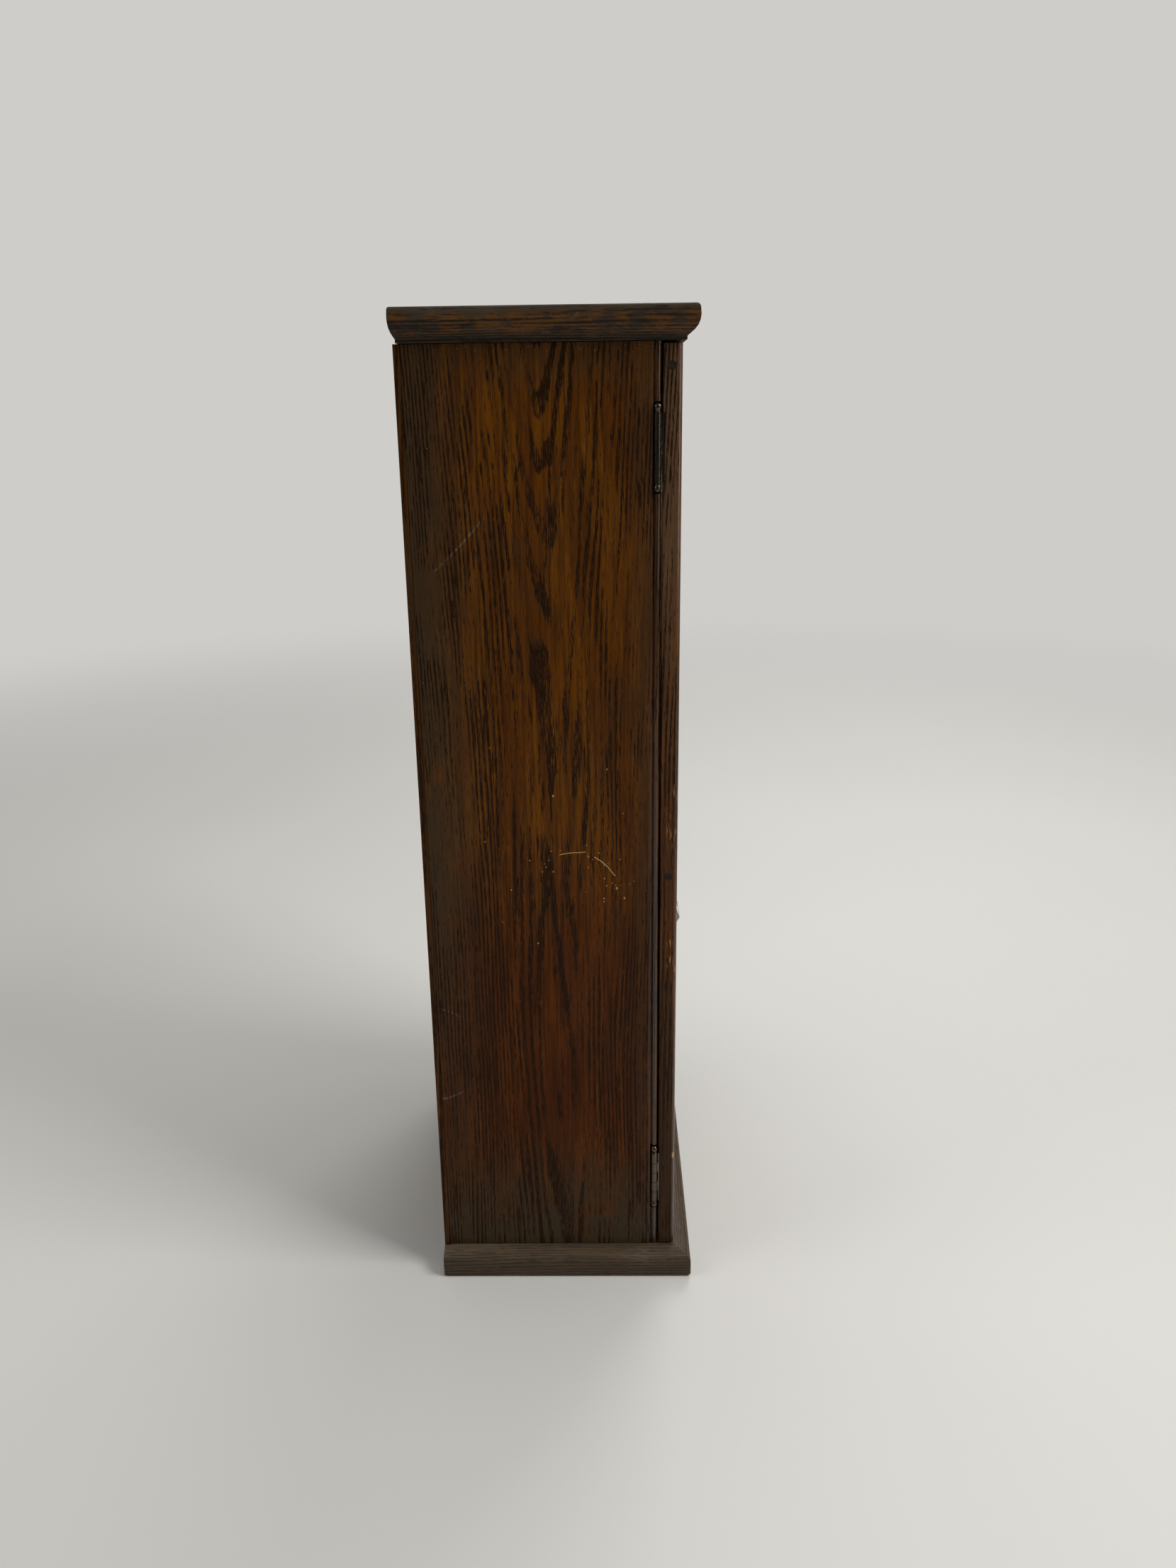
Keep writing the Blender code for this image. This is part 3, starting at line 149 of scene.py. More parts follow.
def make_world():
    """A pale room as seen straight or through glass, and a dimmer one that lights the clock."""
    world = bpy.data.worlds.new("room")
    world.use_nodes = True
    bpy.context.scene.world = world
    nodes, links = world.node_tree.nodes, world.node_tree.links
    light = nodes["Background"]
    light.inputs["Color"].default_value = (0.96, 0.98, 1.0, 1)
    light.inputs["Strength"].default_value = 0.06
    seen = nodes.new("ShaderNodeBackground")
    seen.inputs["Color"].default_value = (*ROOM, 1)
    path = nodes.new("ShaderNodeLightPath")
    mix = nodes.new("ShaderNodeMixShader")
    through = nodes.new("ShaderNodeMath")
    through.operation = "MAXIMUM"
    links.new(path.outputs["Is Camera Ray"], through.inputs[0])
    links.new(path.outputs["Is Transmission Ray"], through.inputs[1])
    links.new(through.outputs[0], mix.inputs["Fac"])
    links.new(light.outputs["Background"], mix.inputs[1])
    links.new(seen.outputs["Background"], mix.inputs[2])
    links.new(mix.outputs["Shader"], nodes["World Output"].inputs["Surface"])


def make_floor():
    """A pale floor that fades into the room a little way off."""
    mesh = bpy.data.meshes.new("floor")
    form = bmesh.new()
    bmesh.ops.create_grid(form, x_segments=1, y_segments=1, size=4.0)
    form.to_mesh(mesh)
    form.free()
    floor = bpy.data.objects.new("floor", mesh)
    bpy.context.scene.collection.objects.link(floor)
    finish = Finish("floor_paint", roughness=0.6, specular_ior_level=0.3)
    cloud = finish.noise(finish.position, 1.3, 3)
    finish.put("Base Color", finish.blend(cloud, (0.70, 0.685, 0.65), (0.74, 0.73, 0.70)))
    reach = finish.vector("LENGTH", finish.position, (0, 0, 0))
    finish.clear_away(finish.span(reach, 0.8, 3.2))
    mesh.materials.append(finish.material)


# ---------------------------------------------------------------- finishes

class Finish:
    """A material in the making, with short calls that add shader nodes and link them up."""

    def __init__(self, name, **sockets):
        self.material = bpy.data.materials.new(name)
        self.material.use_nodes = True
        self.nodes = self.material.node_tree.nodes
        self.links = self.material.node_tree.links
        self.shader = self.nodes["Principled BSDF"]
        for socket, value in sockets.items():
            self.put(socket.replace("_", " ").title().replace("Ior", "IOR"), value)
        self.position = self.nodes.new("ShaderNodeTexCoord").outputs["Object"]

    def feed(self, socket, source):
        """Links a node's output to a socket, or sets a plain value or colour on it."""
        if isinstance(source, bpy.types.NodeSocket):
            self.links.new(source, socket)
        elif isinstance(source, tuple) and socket.type == "RGBA":
            socket.default_value = (*source, 1)
        else:
            socket.default_value = source

    def put(self, name, source):
        """Sets or links one of the main shader's sockets."""
        self.feed(self.shader.inputs[name], source)

    def node(self, kind, **sockets):
        """A new shader node. An underscore in a keyword stands for a space in the socket's name."""
        made = self.nodes.new(kind)
        for name, source in sockets.items():
            self.feed(made.inputs[name.replace("_", " ")], source)
        return made

    def maths(self, operation, first, second=0.0, clamp=False):
        """The result of one operation on two values."""
        made = self.nodes.new("ShaderNodeMath")
        made.operation = operation
        made.use_clamp = clamp
        self.feed(made.inputs[0], first)
        self.feed(made.inputs[1], second)
        return made.outputs[0]

    def product(self, first, *others):
        for other in others:
            first = self.maths("MULTIPLY", first, other)
        return first

    def most(self, first, *others):
        """The largest of some values."""
        for other in others:
            first = self.maths("MAXIMUM", first, other)
        return first

    def vector(self, operation, first, second):
        made = self.nodes.new("ShaderNodeVectorMath")
        made.operation = operation
        self.feed(made.inputs[0], first)
        self.feed(made.inputs[1], second)
        return made.outputs["Value"] if operation in ("LENGTH", "DISTANCE") else made.outputs["Vector"]

    def scaled(self, *scales):
        """The position, stretched along each axis."""
        return self.vector("MULTIPLY", self.position, scales)

    def axes(self):
        """The position's X, Y and Z."""
        made = self.node("ShaderNodeSeparateXYZ", Vector=self.position)
        return made.outputs["X"], made.outputs["Y"], made.outputs["Z"]

    def combine(self, x, y, z):
        return self.node("ShaderNodeCombineXYZ", X=x, Y=y, Z=z).outputs["Vector"]

    def noise(self, source, scale=1.0, detail=3.0, roughness=0.5, distortion=0.0):
        made = self.node(
            "ShaderNodeTexNoise", Vector=source, Scale=scale, Detail=detail, Roughness=roughness,
            Distortion=distortion,
        )
        return made.outputs["Fac"]

    def cells(self, source, scale):
        """The distance to the nearest of many scattered points."""
        return self.node("ShaderNodeTexVoronoi", Vector=source, Scale=scale).outputs["Distance"]

    def span(self, value, low, high, to_low=0.0, to_high=1.0):
        """The value's place between low and high, eased at both ends and clamped."""
        made = self.node(
            "ShaderNodeMapRange", Value=value, From_Min=low, From_Max=high, To_Min=to_low, To_Max=to_high,
        )
        made.interpolation_type = "SMOOTHSTEP"
        return made.outputs["Result"]

    def near(self, value, middle, reach):
        """1 where the value is at the middle, falling to 0 at reach on either side."""
        away = self.maths("ABSOLUTE", self.maths("SUBTRACT", value, middle))
        return self.span(away, 0.35 * reach, reach, 1.0, 0.0)

    def blend(self, share, first, second, kind="MIX"):
        """A colour between two others, or the first one tinted by the second."""
        made = self.nodes.new("ShaderNodeMix")
        made.data_type = "RGBA"
        made.blend_type = kind
        self.feed(made.inputs[0], share)
        self.feed(made.inputs[6], first)
        self.feed(made.inputs[7], second)
        return made.outputs[2]

    def bump(self, height, depth, strength):
        """Relief of a height field from 0 to 1, depth metres deep."""
        return self.node("ShaderNodeBump", Strength=strength, Distance=depth, Height=height).outputs["Normal"]

    def clear_away(self, share):
        """Lets a share of the light pass straight through the finish, as if it weren't there."""
        mix = self.node("ShaderNodeMixShader", Fac=share)
        self.feed(mix.inputs[1], self.shader.outputs[0])
        self.feed(mix.inputs[2], self.node("ShaderNodeBsdfTransparent").outputs[0])
        self.feed(self.nodes["Material Output"].inputs["Surface"], mix.outputs[0])


OAK_TONES = {
    "late": (0.230, 0.076, 0.0036),
    "late_red": (0.145, 0.041, 0.0030),
    "early": (0.062, 0.0200, 0.0030),
    "pore": (0.0150, 0.0066, 0.0018),
    "grime": (0.056, 0.037, 0.019),
    "fleck": (0.42, 0.34, 0.22),
}
DARK_TONES = {
    "late": (0.085, 0.054, 0.028),
    "late_red": (0.066, 0.046, 0.030),
    "early": (0.046, 0.035, 0.025),
    "pore": (0.022, 0.018, 0.014),
    "grime": (0.100, 0.088, 0.066),
    "fleck": (0.40, 0.34, 0.25),
}
BASE_TONES = {
    "late": (0.116, 0.078, 0.045),
    "late_red": (0.104, 0.062, 0.036),
    "early": (0.078, 0.056, 0.036),
    "pore": (0.052, 0.040, 0.028),
    "grime": (0.146, 0.122, 0.088),
    "fleck": (0.45, 0.38, 0.27),
}
DOOR_TONES = OAK_TONES | {
    "late": (0.195, 0.070, 0.0130), "late_red": (0.135, 0.046, 0.0120), "early": (0.068, 0.027, 0.0090),
}
BACK_TONES = OAK_TONES | {"late": (0.105, 0.043, 0.0070), "late_red": (0.080, 0.031, 0.0060)}
PLUG_TONES = DARK_TONES | {
    "late": (0.022, 0.014, 0.009), "late_red": (0.016, 0.010, 0.007), "grime": (0.02, 0.016, 0.012),
}


def oak(name, grain, heart, tones=OAK_TONES, seed=0.0, wear=None, gloss=None):
    """Stained oak, as a solid of growth rings round a heart line that runs along the grain.

    heart is the heart line's place on the two axes across the grain, in the order X, Y, Z. wear is a
    function that works marks of use, and on some boards painted light, into the wood's colour and the grime
    on it. gloss is the middle and reach, on Y, of an edge on the hinge side that hands have polished.
    """
    finish = Finish(name, coat_roughness=0.16, specular_ior_level=0.06)
    x, y, z = finish.axes()
    u, v, along = {"X": (y, z, x), "Y": (x, z, y), "Z": (x, y, z)}[grain]
    u = finish.maths("SUBTRACT", u, heart[0])
    v = finish.maths("SUBTRACT", v, heart[1])
    board = finish.combine(u, v, finish.maths("ADD", along, seed))

    def field(across, lengthwise, *settings):
        return finish.noise(finish.vector("MULTIPLY", board, (across, across, lengthwise)), 1.0, *settings)

    def swing(value, amount):
        return finish.product(finish.maths("SUBTRACT", value, 0.5), amount)

    # Growth rings, bent slowly along the board and shivering a little.
    radius = finish.vector("LENGTH", finish.combine(u, v, 0.0), (0, 0, 0))
    bent = finish.maths("ADD", swing(field(10.0, 1.8, 2.0), 0.019), swing(field(75.0, 6.0, 3.0), 0.0044))
    drawn_in = finish.product(finish.maths("POWER", along, 4.0), -RING_PULL)
    radius = finish.maths("ADD", finish.maths("ADD", radius, bent), drawn_in)
    ring = finish.maths("FRACT", finish.maths("DIVIDE", radius, RING_SPACING))
    early = finish.product(finish.span(ring, 0.30, 0.55), finish.span(ring, 0.88, 1.0, 1.0, 0.0))

    # Pores: ragged dark dashes along the grain, crowded in the early wood and scarce elsewhere.
    ragged = field(4200.0, 300.0, 2.0, 0.6)
    dashes = finish.maths("ADD", field(1250.0, 95.0, 4.0, 0.70), swing(ragged, 0.28))
    patch = field(70.0, 9.0, 3.0, 0.55, 0.5)
    crowd = finish.product(early, finish.span(patch, 0.36, 0.58, 0.30, 1.0))
    clots = finish.span(field(270.0, 22.0, 2.0, 0.6, 0.3), 0.54, 0.66, 0.0, 0.90)
    crowd = finish.most(crowd, finish.product(clots, finish.span(patch, 0.44, 0.56)))
    dark = finish.span(finish.maths("ADD", dashes, finish.product(crowd, 0.24)), 0.60, 0.73)

    # Colour: the late wood drifts from orange to red-brown, the stain sits in the pores, and a few
    # pale specks lie on top.
    drift = field(55.0, 7.0, 4.0, 0.65)
    wood = finish.blend(finish.span(drift, 0.38, 0.62), tones["late"], tones["late_red"])
    streak = field(420.0, 14.0, 3.0, 0.6)
    wood = finish.blend(finish.span(streak, 0.40, 0.66, 0.0, 0.8), wood, tones["early"])
    fibre = field(3000.0, 90.0, 2.0)
    wood = finish.blend(finish.span(fibre, 0.3, 0.7, 0.0, 0.60), wood, tones["early"])
    grime = finish.span(finish.noise(finish.position, 11.0, 4.0, 0.6), 0.50, 0.75, 0.0, 0.5)
    if wear:
        wood, grime = wear(finish, wood, grime)
    colour = finish.blend(grime, wood, tones["grime"])
    pore = finish.blend(finish.span(ragged, 0.35, 0.65, 0.0, 0.30), tones["pore"], tones["early"])
    colour = finish.blend(dark, colour, pore)
    dust = finish.span(finish.cells(finish.position, 85.0), 0.022, 0.034, 0.6, 0.0)
    scarce = finish.span(finish.noise(finish.position, 30.0, 1.0), 0.60, 0.66)
    colour = finish.blend(finish.product(dust, scarce), colour, tones["fleck"])
    finish.put("Base Color", colour)

    # Surface: open pores are dull and sunk, and polished edges have a coat of wax.
    sheen = finish.noise(finish.position, 160.0, 3.0)
    rough = finish.maths("ADD", finish.span(sheen, 0.3, 0.7, 0.32, 0.48), finish.product(dark, 0.16))
    finish.put("Roughness", rough)
    relief = finish.maths("SUBTRACT", 1.0, finish.product(dark, 0.8))
    relief = finish.maths("ADD", relief, finish.product(fibre, 0.15))
    finish.put("Normal", finish.bump(relief, 0.00025, 0.8))
    polish = finish.product(finish.near(y, *gloss), finish.near(x, SIDE_FACE, 0.004)) if gloss else 0.0
    finish.put("Coat Weight", finish.maths("ADD", finish.product(polish, 0.9), 0.06, clamp=True))
    return finish.material


def top_wear(finish, wood, grime):
    """The cornice: charcoal above, rubbed back to orange-brown on its round, with slanting scratches."""
    x, y, z = finish.axes()
    tall = TOP_HIGH.z - TOP_LOW.z
    belly = finish.near(z, TOP_LOW.z + 0.52 * tall, 0.42 * tall)
    mottle = finish.noise(finish.scaled(1, 0.6, 1), 90.0, 5.0, 0.65)
    warm = finish.product(belly, finish.span(mottle, 0.38, 0.58))
    wood = finish.blend(warm, wood, (0.150, 0.062, 0.016))
    across, along = finish.maths("ADD", y, z), finish.product(finish.maths("SUBTRACT", y, z), 0.04)
    slant = finish.vector("MULTIPLY", finish.combine(x, across, along), (30.0, 800.0, 800.0))
    lines = finish.span(finish.noise(slant, 1.0, 2.0), 0.64, 0.70)
    here = finish.span(finish.noise(finish.position, 28.0, 2.0), 0.50, 0.60)
    wood = finish.blend(finish.product(lines, here, belly), wood, (0.34, 0.20, 0.09))
    return wood, finish.product(grime, finish.span(warm, 0.0, 1.0, 1.0, 0.3))


def dusty_wear(finish, wood, grime):
    """Years of hands and dust: grey along the edges and above the base, and a redder, darker lower half."""
    x, y, z = finish.axes()
    depth, tall = SIDE_HIGH.y - SIDE_LOW.y, SIDE_HIGH.z - SIDE_LOW.z

    def up(low, high, to_low, to_high):
        """A span between two shares of the board's height."""
        return finish.span(z, SIDE_LOW.z + low * tall, SIDE_LOW.z + high * tall, to_low, to_high)

    back = finish.span(y, SIDE_HIGH.y - 0.34 * depth, SIDE_HIGH.y, 0.0, 0.85)
    back = finish.product(back, up(0.15, 0.50, 0.5, 1.0))
    front = finish.span(y, SIDE_LOW.y + 0.010, SIDE_LOW.y + 0.028, 0.45, 0.0)
    edges = finish.most(back, front, up(0.02, 0.17, 0.95, 0.0), up(0.94, 1.0, 0.0, 0.45))
    cloud = finish.span(finish.noise(finish.position, 24.0, 4.0, 0.6), 0.15, 0.50)
    grime = finish.most(finish.product(grime, 0.6), finish.product(edges, cloud))
    red = finish.product(up(0.35, 0.55, 0.85, 0.0), up(0.03, 0.20, 0.8, 1.0))
    return finish.blend(red, wood, (0.60, 0.42, 0.34), "MULTIPLY"), grime


def side_wear(finish, wood, grime):
    """Dust, a pale chip on the back edge, painted glints of the varnish's sheen under the cornice, and two
    faint scuffs.
    """
    wood, grime = dusty_wear(finish, wood, grime)
    x, y, z = finish.axes()
    chip = finish.product(finish.near(z, 0.4935, 0.0045), finish.near(y, SIDE_HIGH.y + 0.0045, 0.0062))
    wood = finish.blend(chip, wood, (0.55, 0.34, 0.16))
    # painted highlight: pale glints just under the cornice that stand in for the varnish's sheen
    painted_glints = finish.span(finish.noise(finish.position, 900.0, 2.0), 0.66, 0.72)
    painted_glints = finish.product(painted_glints, finish.span(z, SIDE_HIGH.z - 0.010, SIDE_HIGH.z - 0.003))
    wood = finish.blend(painted_glints, wood, (0.55, 0.50, 0.42))
    streaks = finish.span(finish.noise(finish.position, 260.0, 4.0, 0.7), 0.40, 0.60, 0.05, 0.5)
    scuffs = (
        # the arc's middle on Y and Z, its radius, and where it starts and ends on Y
        (0.30, 0.84, 0.3317, 0.045, 0.088),
        (0.105, 0.205, 0.0415, 0.078, 0.106),
    )
    fade = 0.008
    for middle_y, middle_z, radius, first, last in scuffs:
        off_y, off_z = finish.maths("SUBTRACT", y, middle_y), finish.maths("SUBTRACT", z, middle_z)
        away = finish.vector("LENGTH", finish.combine(off_y, off_z, 0.0), (0, 0, 0))
        begins, ends = finish.span(y, first, first + fade), finish.span(y, last - fade, last, 1.0, 0.0)
        faint = finish.product(finish.near(away, radius, 0.0010), begins, ends, streaks)
        wood = finish.blend(faint, wood, (0.30, 0.30, 0.30))
    return wood, grime


def stile_wear(finish, wood, grime):
    """The door's edge: paler above from a painted sheen of window light and darker below, with a pale line
    along its front corner that is partly painted highlight and partly rubbing, scraped and chipped.
    """
    x, y, z = finish.axes()
    outer = finish.span(x, STILE_LOW.x + 0.0005, STILE_LOW.x + 0.002, 1.0, 0.0)
    rubbed = finish.noise(finish.scaled(1, 1, 0.12), 520.0, 3.0, 0.6)
    # the front corner, where a pale line is painted: partly highlight caught by the rounded arris, partly
    # rubbing
    corner = finish.product(finish.near(y, DOOR_FRONT, 0.0009), finish.near(x, STILE_LOW.x, 0.0009))
    scraped = finish.product(
        finish.most(finish.near(z, 0.411, 0.034), finish.near(z, 0.293, 0.020)),
        finish.near(y, DOOR_FRONT + 0.004, 0.006), finish.span(rubbed, 0.54, 0.62), outer,
    )
    chip = finish.product(finish.near(z, 0.1098, 0.0035), finish.near(y, DOOR_FRONT, 0.0026), outer)
    for share, colour in (
        # painted highlight and rubbing along the front corner
        (finish.product(corner, finish.span(rubbed, 0.48, 0.62)), (0.30, 0.20, 0.12)),
        # painted sheen: window light on the upper part of the edge
        (finish.product(finish.span(z, 0.40, 0.66, 0.0, 0.55), outer), (0.160, 0.098, 0.058)),
        (finish.product(finish.span(z, 0.10, 0.36, 0.70, 0.0), outer), (0.022, 0.015, 0.009)),
        (scraped, (0.46, 0.20, 0.06)),
        (chip, (0.55, 0.33, 0.15)),
    ):
        wood = finish.blend(share, wood, colour)
    return wood, finish.product(grime, 0.5)


def metal(name, colour, second, roughness, grain, grain_scale, tarnish):
    """Bare or plated metal: fine tool marks along a grain, drifts of a second colour, and small pits."""
    finish = Finish(name, metallic=1.0)
    marks = finish.noise(finish.scaled(*grain), grain_scale, 3.0, 0.6)
    cloud = finish.noise(finish.position, 55.0, 5.0, 0.65, 0.3)
    spots = finish.span(finish.cells(finish.position, 420.0), 0.05, 0.16, 1.0, 0.0)
    spots = finish.product(spots, finish.span(finish.noise(finish.position, 90.0, 2.0), 0.50, 0.62))
    aged = finish.span(cloud, 0.62 - 0.35 * tarnish, 0.72, 0.0, 0.9)
    finish.put("Base Color", finish.blend(finish.most(aged, spots), colour, second))
    rough = finish.maths("ADD", finish.span(marks, 0.25, 0.75, *roughness), finish.product(aged, 0.18))
    finish.put("Roughness", rough)
    relief = finish.maths("SUBTRACT", finish.product(marks, 0.5), spots)
    finish.put("Normal", finish.bump(relief, 0.00003, 0.6))
    return finish.material


def enamelled_iron():
    """Black japanned iron, a little orange-peeled, with rubbed brown specks."""
    finish = Finish("black_iron", coat_weight=0.4, coat_roughness=0.12)
    peel = finish.noise(finish.position, 520.0, 2.0)
    rub = finish.noise(finish.position, 75.0, 6.0, 0.7, 0.3)
    worn = finish.span(rub, 0.62, 0.70)
    dust = finish.noise(finish.position, 14.0, 4.0)
    base = finish.blend(finish.span(dust, 0.35, 0.7), (0.012, 0.012, 0.013), (0.024, 0.023, 0.022))
    finish.put("Base Color", finish.blend(worn, base, (0.075, 0.045, 0.028)))
    finish.put("Roughness", finish.span(worn, 0.0, 1.0, 0.28, 0.62))
    relief = finish.maths("SUBTRACT", finish.product(peel, 0.35), worn)
    finish.put("Normal", finish.bump(relief, 0.00004, 0.5))
    return finish.material


def dial_enamel():
    """Cream enamel, yellower towards its rim, with faint foxing."""
    finish = Finish("dial_enamel", coat_weight=0.5, coat_roughness=0.1)
    reach = finish.vector("DISTANCE", finish.position, tuple(DIAL_CENTRE))
    rim = finish.span(reach, 0.45 * DIAL_RADIUS, DIAL_RADIUS, 0.0, 0.75)
    paper = finish.blend(rim, (0.78, 0.73, 0.60), (0.62, 0.52, 0.36))
    foxing = finish.span(finish.noise(finish.position, 95.0, 6.0, 0.7), 0.60, 0.74, 0.0, 0.5)
    finish.put("Base Color", finish.blend(foxing, paper, (0.36, 0.24, 0.12)))
    finish.put("Roughness", finish.span(finish.noise(finish.position, 60.0), 0.3, 0.7, 0.32, 0.46))
    finish.put("Normal", finish.bump(finish.noise(finish.position, 240.0, 2.0), 0.00003, 0.4))
    return finish.material


def sheet_glass():
    """Old drawn glass: clear, faintly green, with slow waves, and casting no shadow."""
    finish = Finish("sheet_glass", transmission_weight=1.0, ior=1.5)
    tint = finish.blend(finish.noise(finish.position, 6.0), (0.93, 0.98, 0.95), (0.96, 1.0, 0.98))
    finish.put("Base Color", tint)
    film = finish.span(finish.noise(finish.position, 22.0, 5.0, 0.7), 0.45, 0.85, 0.0, 0.06)
    finish.put("Roughness", film)
    waves = finish.noise(finish.scaled(1.0, 1.0, 0.35), 16.0, 1.0)
    finish.put("Normal", finish.bump(waves, 0.0006, 0.25))
    finish.clear_away(finish.node("ShaderNodeLightPath").outputs["Is Shadow Ray"])
    return finish.material


def dried_varnish():
    """Drips of honey-coloured varnish that dried on the side."""
    finish = Finish("dried_varnish", coat_weight=0.5, coat_roughness=0.1)
    cloud = finish.noise(finish.position, 500.0, 3.0)
    finish.put("Base Color", finish.blend(cloud, (0.50, 0.33, 0.07), (0.36, 0.20, 0.04)))
    finish.put("Roughness", finish.span(cloud, 0.3, 0.7, 0.2, 0.4))
    finish.put("Normal", finish.bump(cloud, 0.00005, 0.4))
    return finish.material


def woven_ribbon():
    """Inked ribbon: a fine plain weave, unevenly inked."""
    finish = Finish("woven_ribbon", sheen_weight=0.3, sheen_roughness=0.4)
    x, y, z = finish.axes()
    threads = 2 * math.pi / 0.0006  # one thread every 0.6 mm
    warp, weft = (finish.maths("SINE", finish.product(axis, threads)) for axis in (x, z))
    weave = finish.product(warp, weft)
    ink = finish.noise(finish.position, 180.0, 3.0)
    finish.put("Base Color", finish.blend(ink, (0.010, 0.010, 0.020), (0.028, 0.026, 0.045)))
    finish.put("Roughness", finish.span(ink, 0.3, 0.7, 0.6, 0.85))
    finish.put("Normal", finish.bump(weave, 0.00006, 0.7))
    return finish.material


def black_felt():
    """Black felt, matted and a little dusty."""
    finish = Finish("black_felt", roughness=0.95, sheen_weight=0.3)
    nap = finish.noise(finish.position, 2200.0, 3.0, 0.7)
    finish.put("Base Color", finish.blend(nap, (0.008, 0.008, 0.008), (0.022, 0.020, 0.018)))
    finish.put("Normal", finish.bump(nap, 0.0002, 0.6))
    return finish.material


def printed_ink():
    """Black printing ink, worn thin in specks."""
    finish = Finish("printed_ink")
    wear = finish.noise(finish.position, 700.0, 4.0, 0.7)
    thin = finish.span(wear, 0.58, 0.72, 0.0, 0.7)
    finish.put("Base Color", finish.blend(thin, (0.010, 0.010, 0.012), (0.10, 0.09, 0.07)))
    finish.put("Roughness", finish.span(wear, 0.3, 0.7, 0.42, 0.60))
    finish.put("Normal", finish.bump(wear, 0.00001, 0.3))
    return finish.material


def make_finishes():
    """Every finish under its short name. Each board has its own heart line and seed, so its own grain."""
    mid = (SIDE_LOW.y + SIDE_HIGH.y) / 2
    left, right = CENTRE_X - 0.25, CENTRE_X + 0.25
    return {
        "side": oak("oak_side_left", "Z", (SIDE_FACE + 0.048, mid - 0.008), wear=side_wear,
                    gloss=(SIDE_LOW.y + 0.0024, 0.0060)),
        "side_right": oak("oak_side_right", "Z", (FAR_SIDE_FACE - 0.048, mid + 0.010), seed=3.1,
                          wear=dusty_wear),
        "stile": oak("oak_stile", "Z", (left, DOOR_FRONT + 0.16), DOOR_TONES, 1.7, stile_wear,
                     gloss=(DOOR_FRONT, 0.0030)),
        "stile_right": oak("oak_stile_right", "Z", (right, DOOR_FRONT + 0.14), DOOR_TONES, 5.3),
        "rail": oak("oak_rail", "X", (DOOR_FRONT + 0.12, 0.33), DOOR_TONES, 2.3),
        "panel": oak("oak_panel", "Z", (CENTRE_X + 0.01, DOOR_FRONT + 0.050), DOOR_TONES, 4.2),
        "back": oak("oak_back", "Z", (CENTRE_X + 0.03, 0.20), BACK_TONES, 6.6),
        "inside": oak("oak_inside", "X", (0.02, 0.40), OAK_TONES, 7.7),
        "dark": oak("oak_dark_end", "X", (0.02, HEIGHT - 0.06), DARK_TONES, 8.1, top_wear),
        "dark_y": oak("oak_dark_side", "Y", (SIDE_FACE + 0.03, HEIGHT - 0.045), DARK_TONES, 12.1, top_wear),
        "dark_base": oak("oak_base", "X", (0.04, 0.09), BASE_TONES, 9.4),
        "base_y": oak("oak_base_side", "Y", (SIDE_FACE + 0.03, 0.06), BASE_TONES, 13.7),
        "mat": oak("oak_dial_mat", "Z", (CENTRE_X - 0.02, 0.02), DARK_TONES, 10.3),
        "plug": oak("oak_plug", "X", (DOOR_FRONT, 0.3), PLUG_TONES, 11.2),
        "bronze": metal("dark_bronze", (0.120, 0.094, 0.072), (0.034, 0.028, 0.023), (0.17, 0.32),
                        (1, 1, 0.1), 700.0, 0.5),
        "brass": metal("brass", (0.58, 0.40, 0.15), (0.27, 0.17, 0.07), (0.20, 0.38),
                       (1, 0.1, 1), 900.0, 0.35),
        "steel": metal("steel", (0.42, 0.41, 0.40), (0.17, 0.14, 0.12), (0.24, 0.40),
                       (0.1, 1, 1), 900.0, 0.3),
        "nickel": metal("nickel", (0.55, 0.53, 0.48), (0.38, 0.34, 0.26), (0.16, 0.30),
                        (0.1, 1, 1), 800.0, 0.15),
        "iron": enamelled_iron(),
        "enamel": dial_enamel(),
        "glass": sheet_glass(),
        "ribbon": woven_ribbon(),
        "ink": printed_ink(),
        "varnish": dried_varnish(),
        "felt": black_felt(),
    }


# ---------------------------------------------------------------- piece helpers

def new_piece(name, mesh, finish, body):
    """A new piece on a body, in the named finish."""
    mesh.materials.clear()
    mesh.materials.append(FINISHES[finish])
    obj = bpy.data.objects.new(name, mesh)
    bpy.context.scene.collection.objects.link(obj)
    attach(obj, body)
    return obj


def smoothed(mesh, degrees):
    """The mesh, shaded smooth but for the edges sharper than an angle."""
    mesh.shade_smooth()
    mesh.set_sharp_from_angle(angle=math.radians(degrees))
    return mesh


def refine(node, finish, edge, ends=None):
    """A finer copy of a node, its triangles merged, its edges rounded and its round sides smooth.

    ends is the finish of the faces that look left and right, where it isn't the same.
    """
    form = bmesh.new()
    form.from_mesh(NODES[node].data)
    bmesh.ops.remove_doubles(form, verts=form.verts, dist=0.000002)
    bmesh.ops.dissolve_limit(form, angle_limit=math.radians(0.6), verts=form.verts, edges=form.edges)
    piece = finished(form, f"{node}_finished", finish, BODY_OF[node], turn_faces=False)
    if ends:
        piece.data.materials.append(FINISHES[ends])
        for face in piece.data.polygons:
            if abs(face.normal.x) > abs(face.normal.y) and abs(face.normal.z) < 0.995:
                face.material_index = 1
    bevel = piece.modifiers.new("rounded edges", "BEVEL")
    bevel.width = edge
    bevel.segments = 2
    bevel.limit_method = "ANGLE"
    bevel.angle_limit = math.radians(SHARP)
    bevel.harden_normals = True
    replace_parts(piece, node)


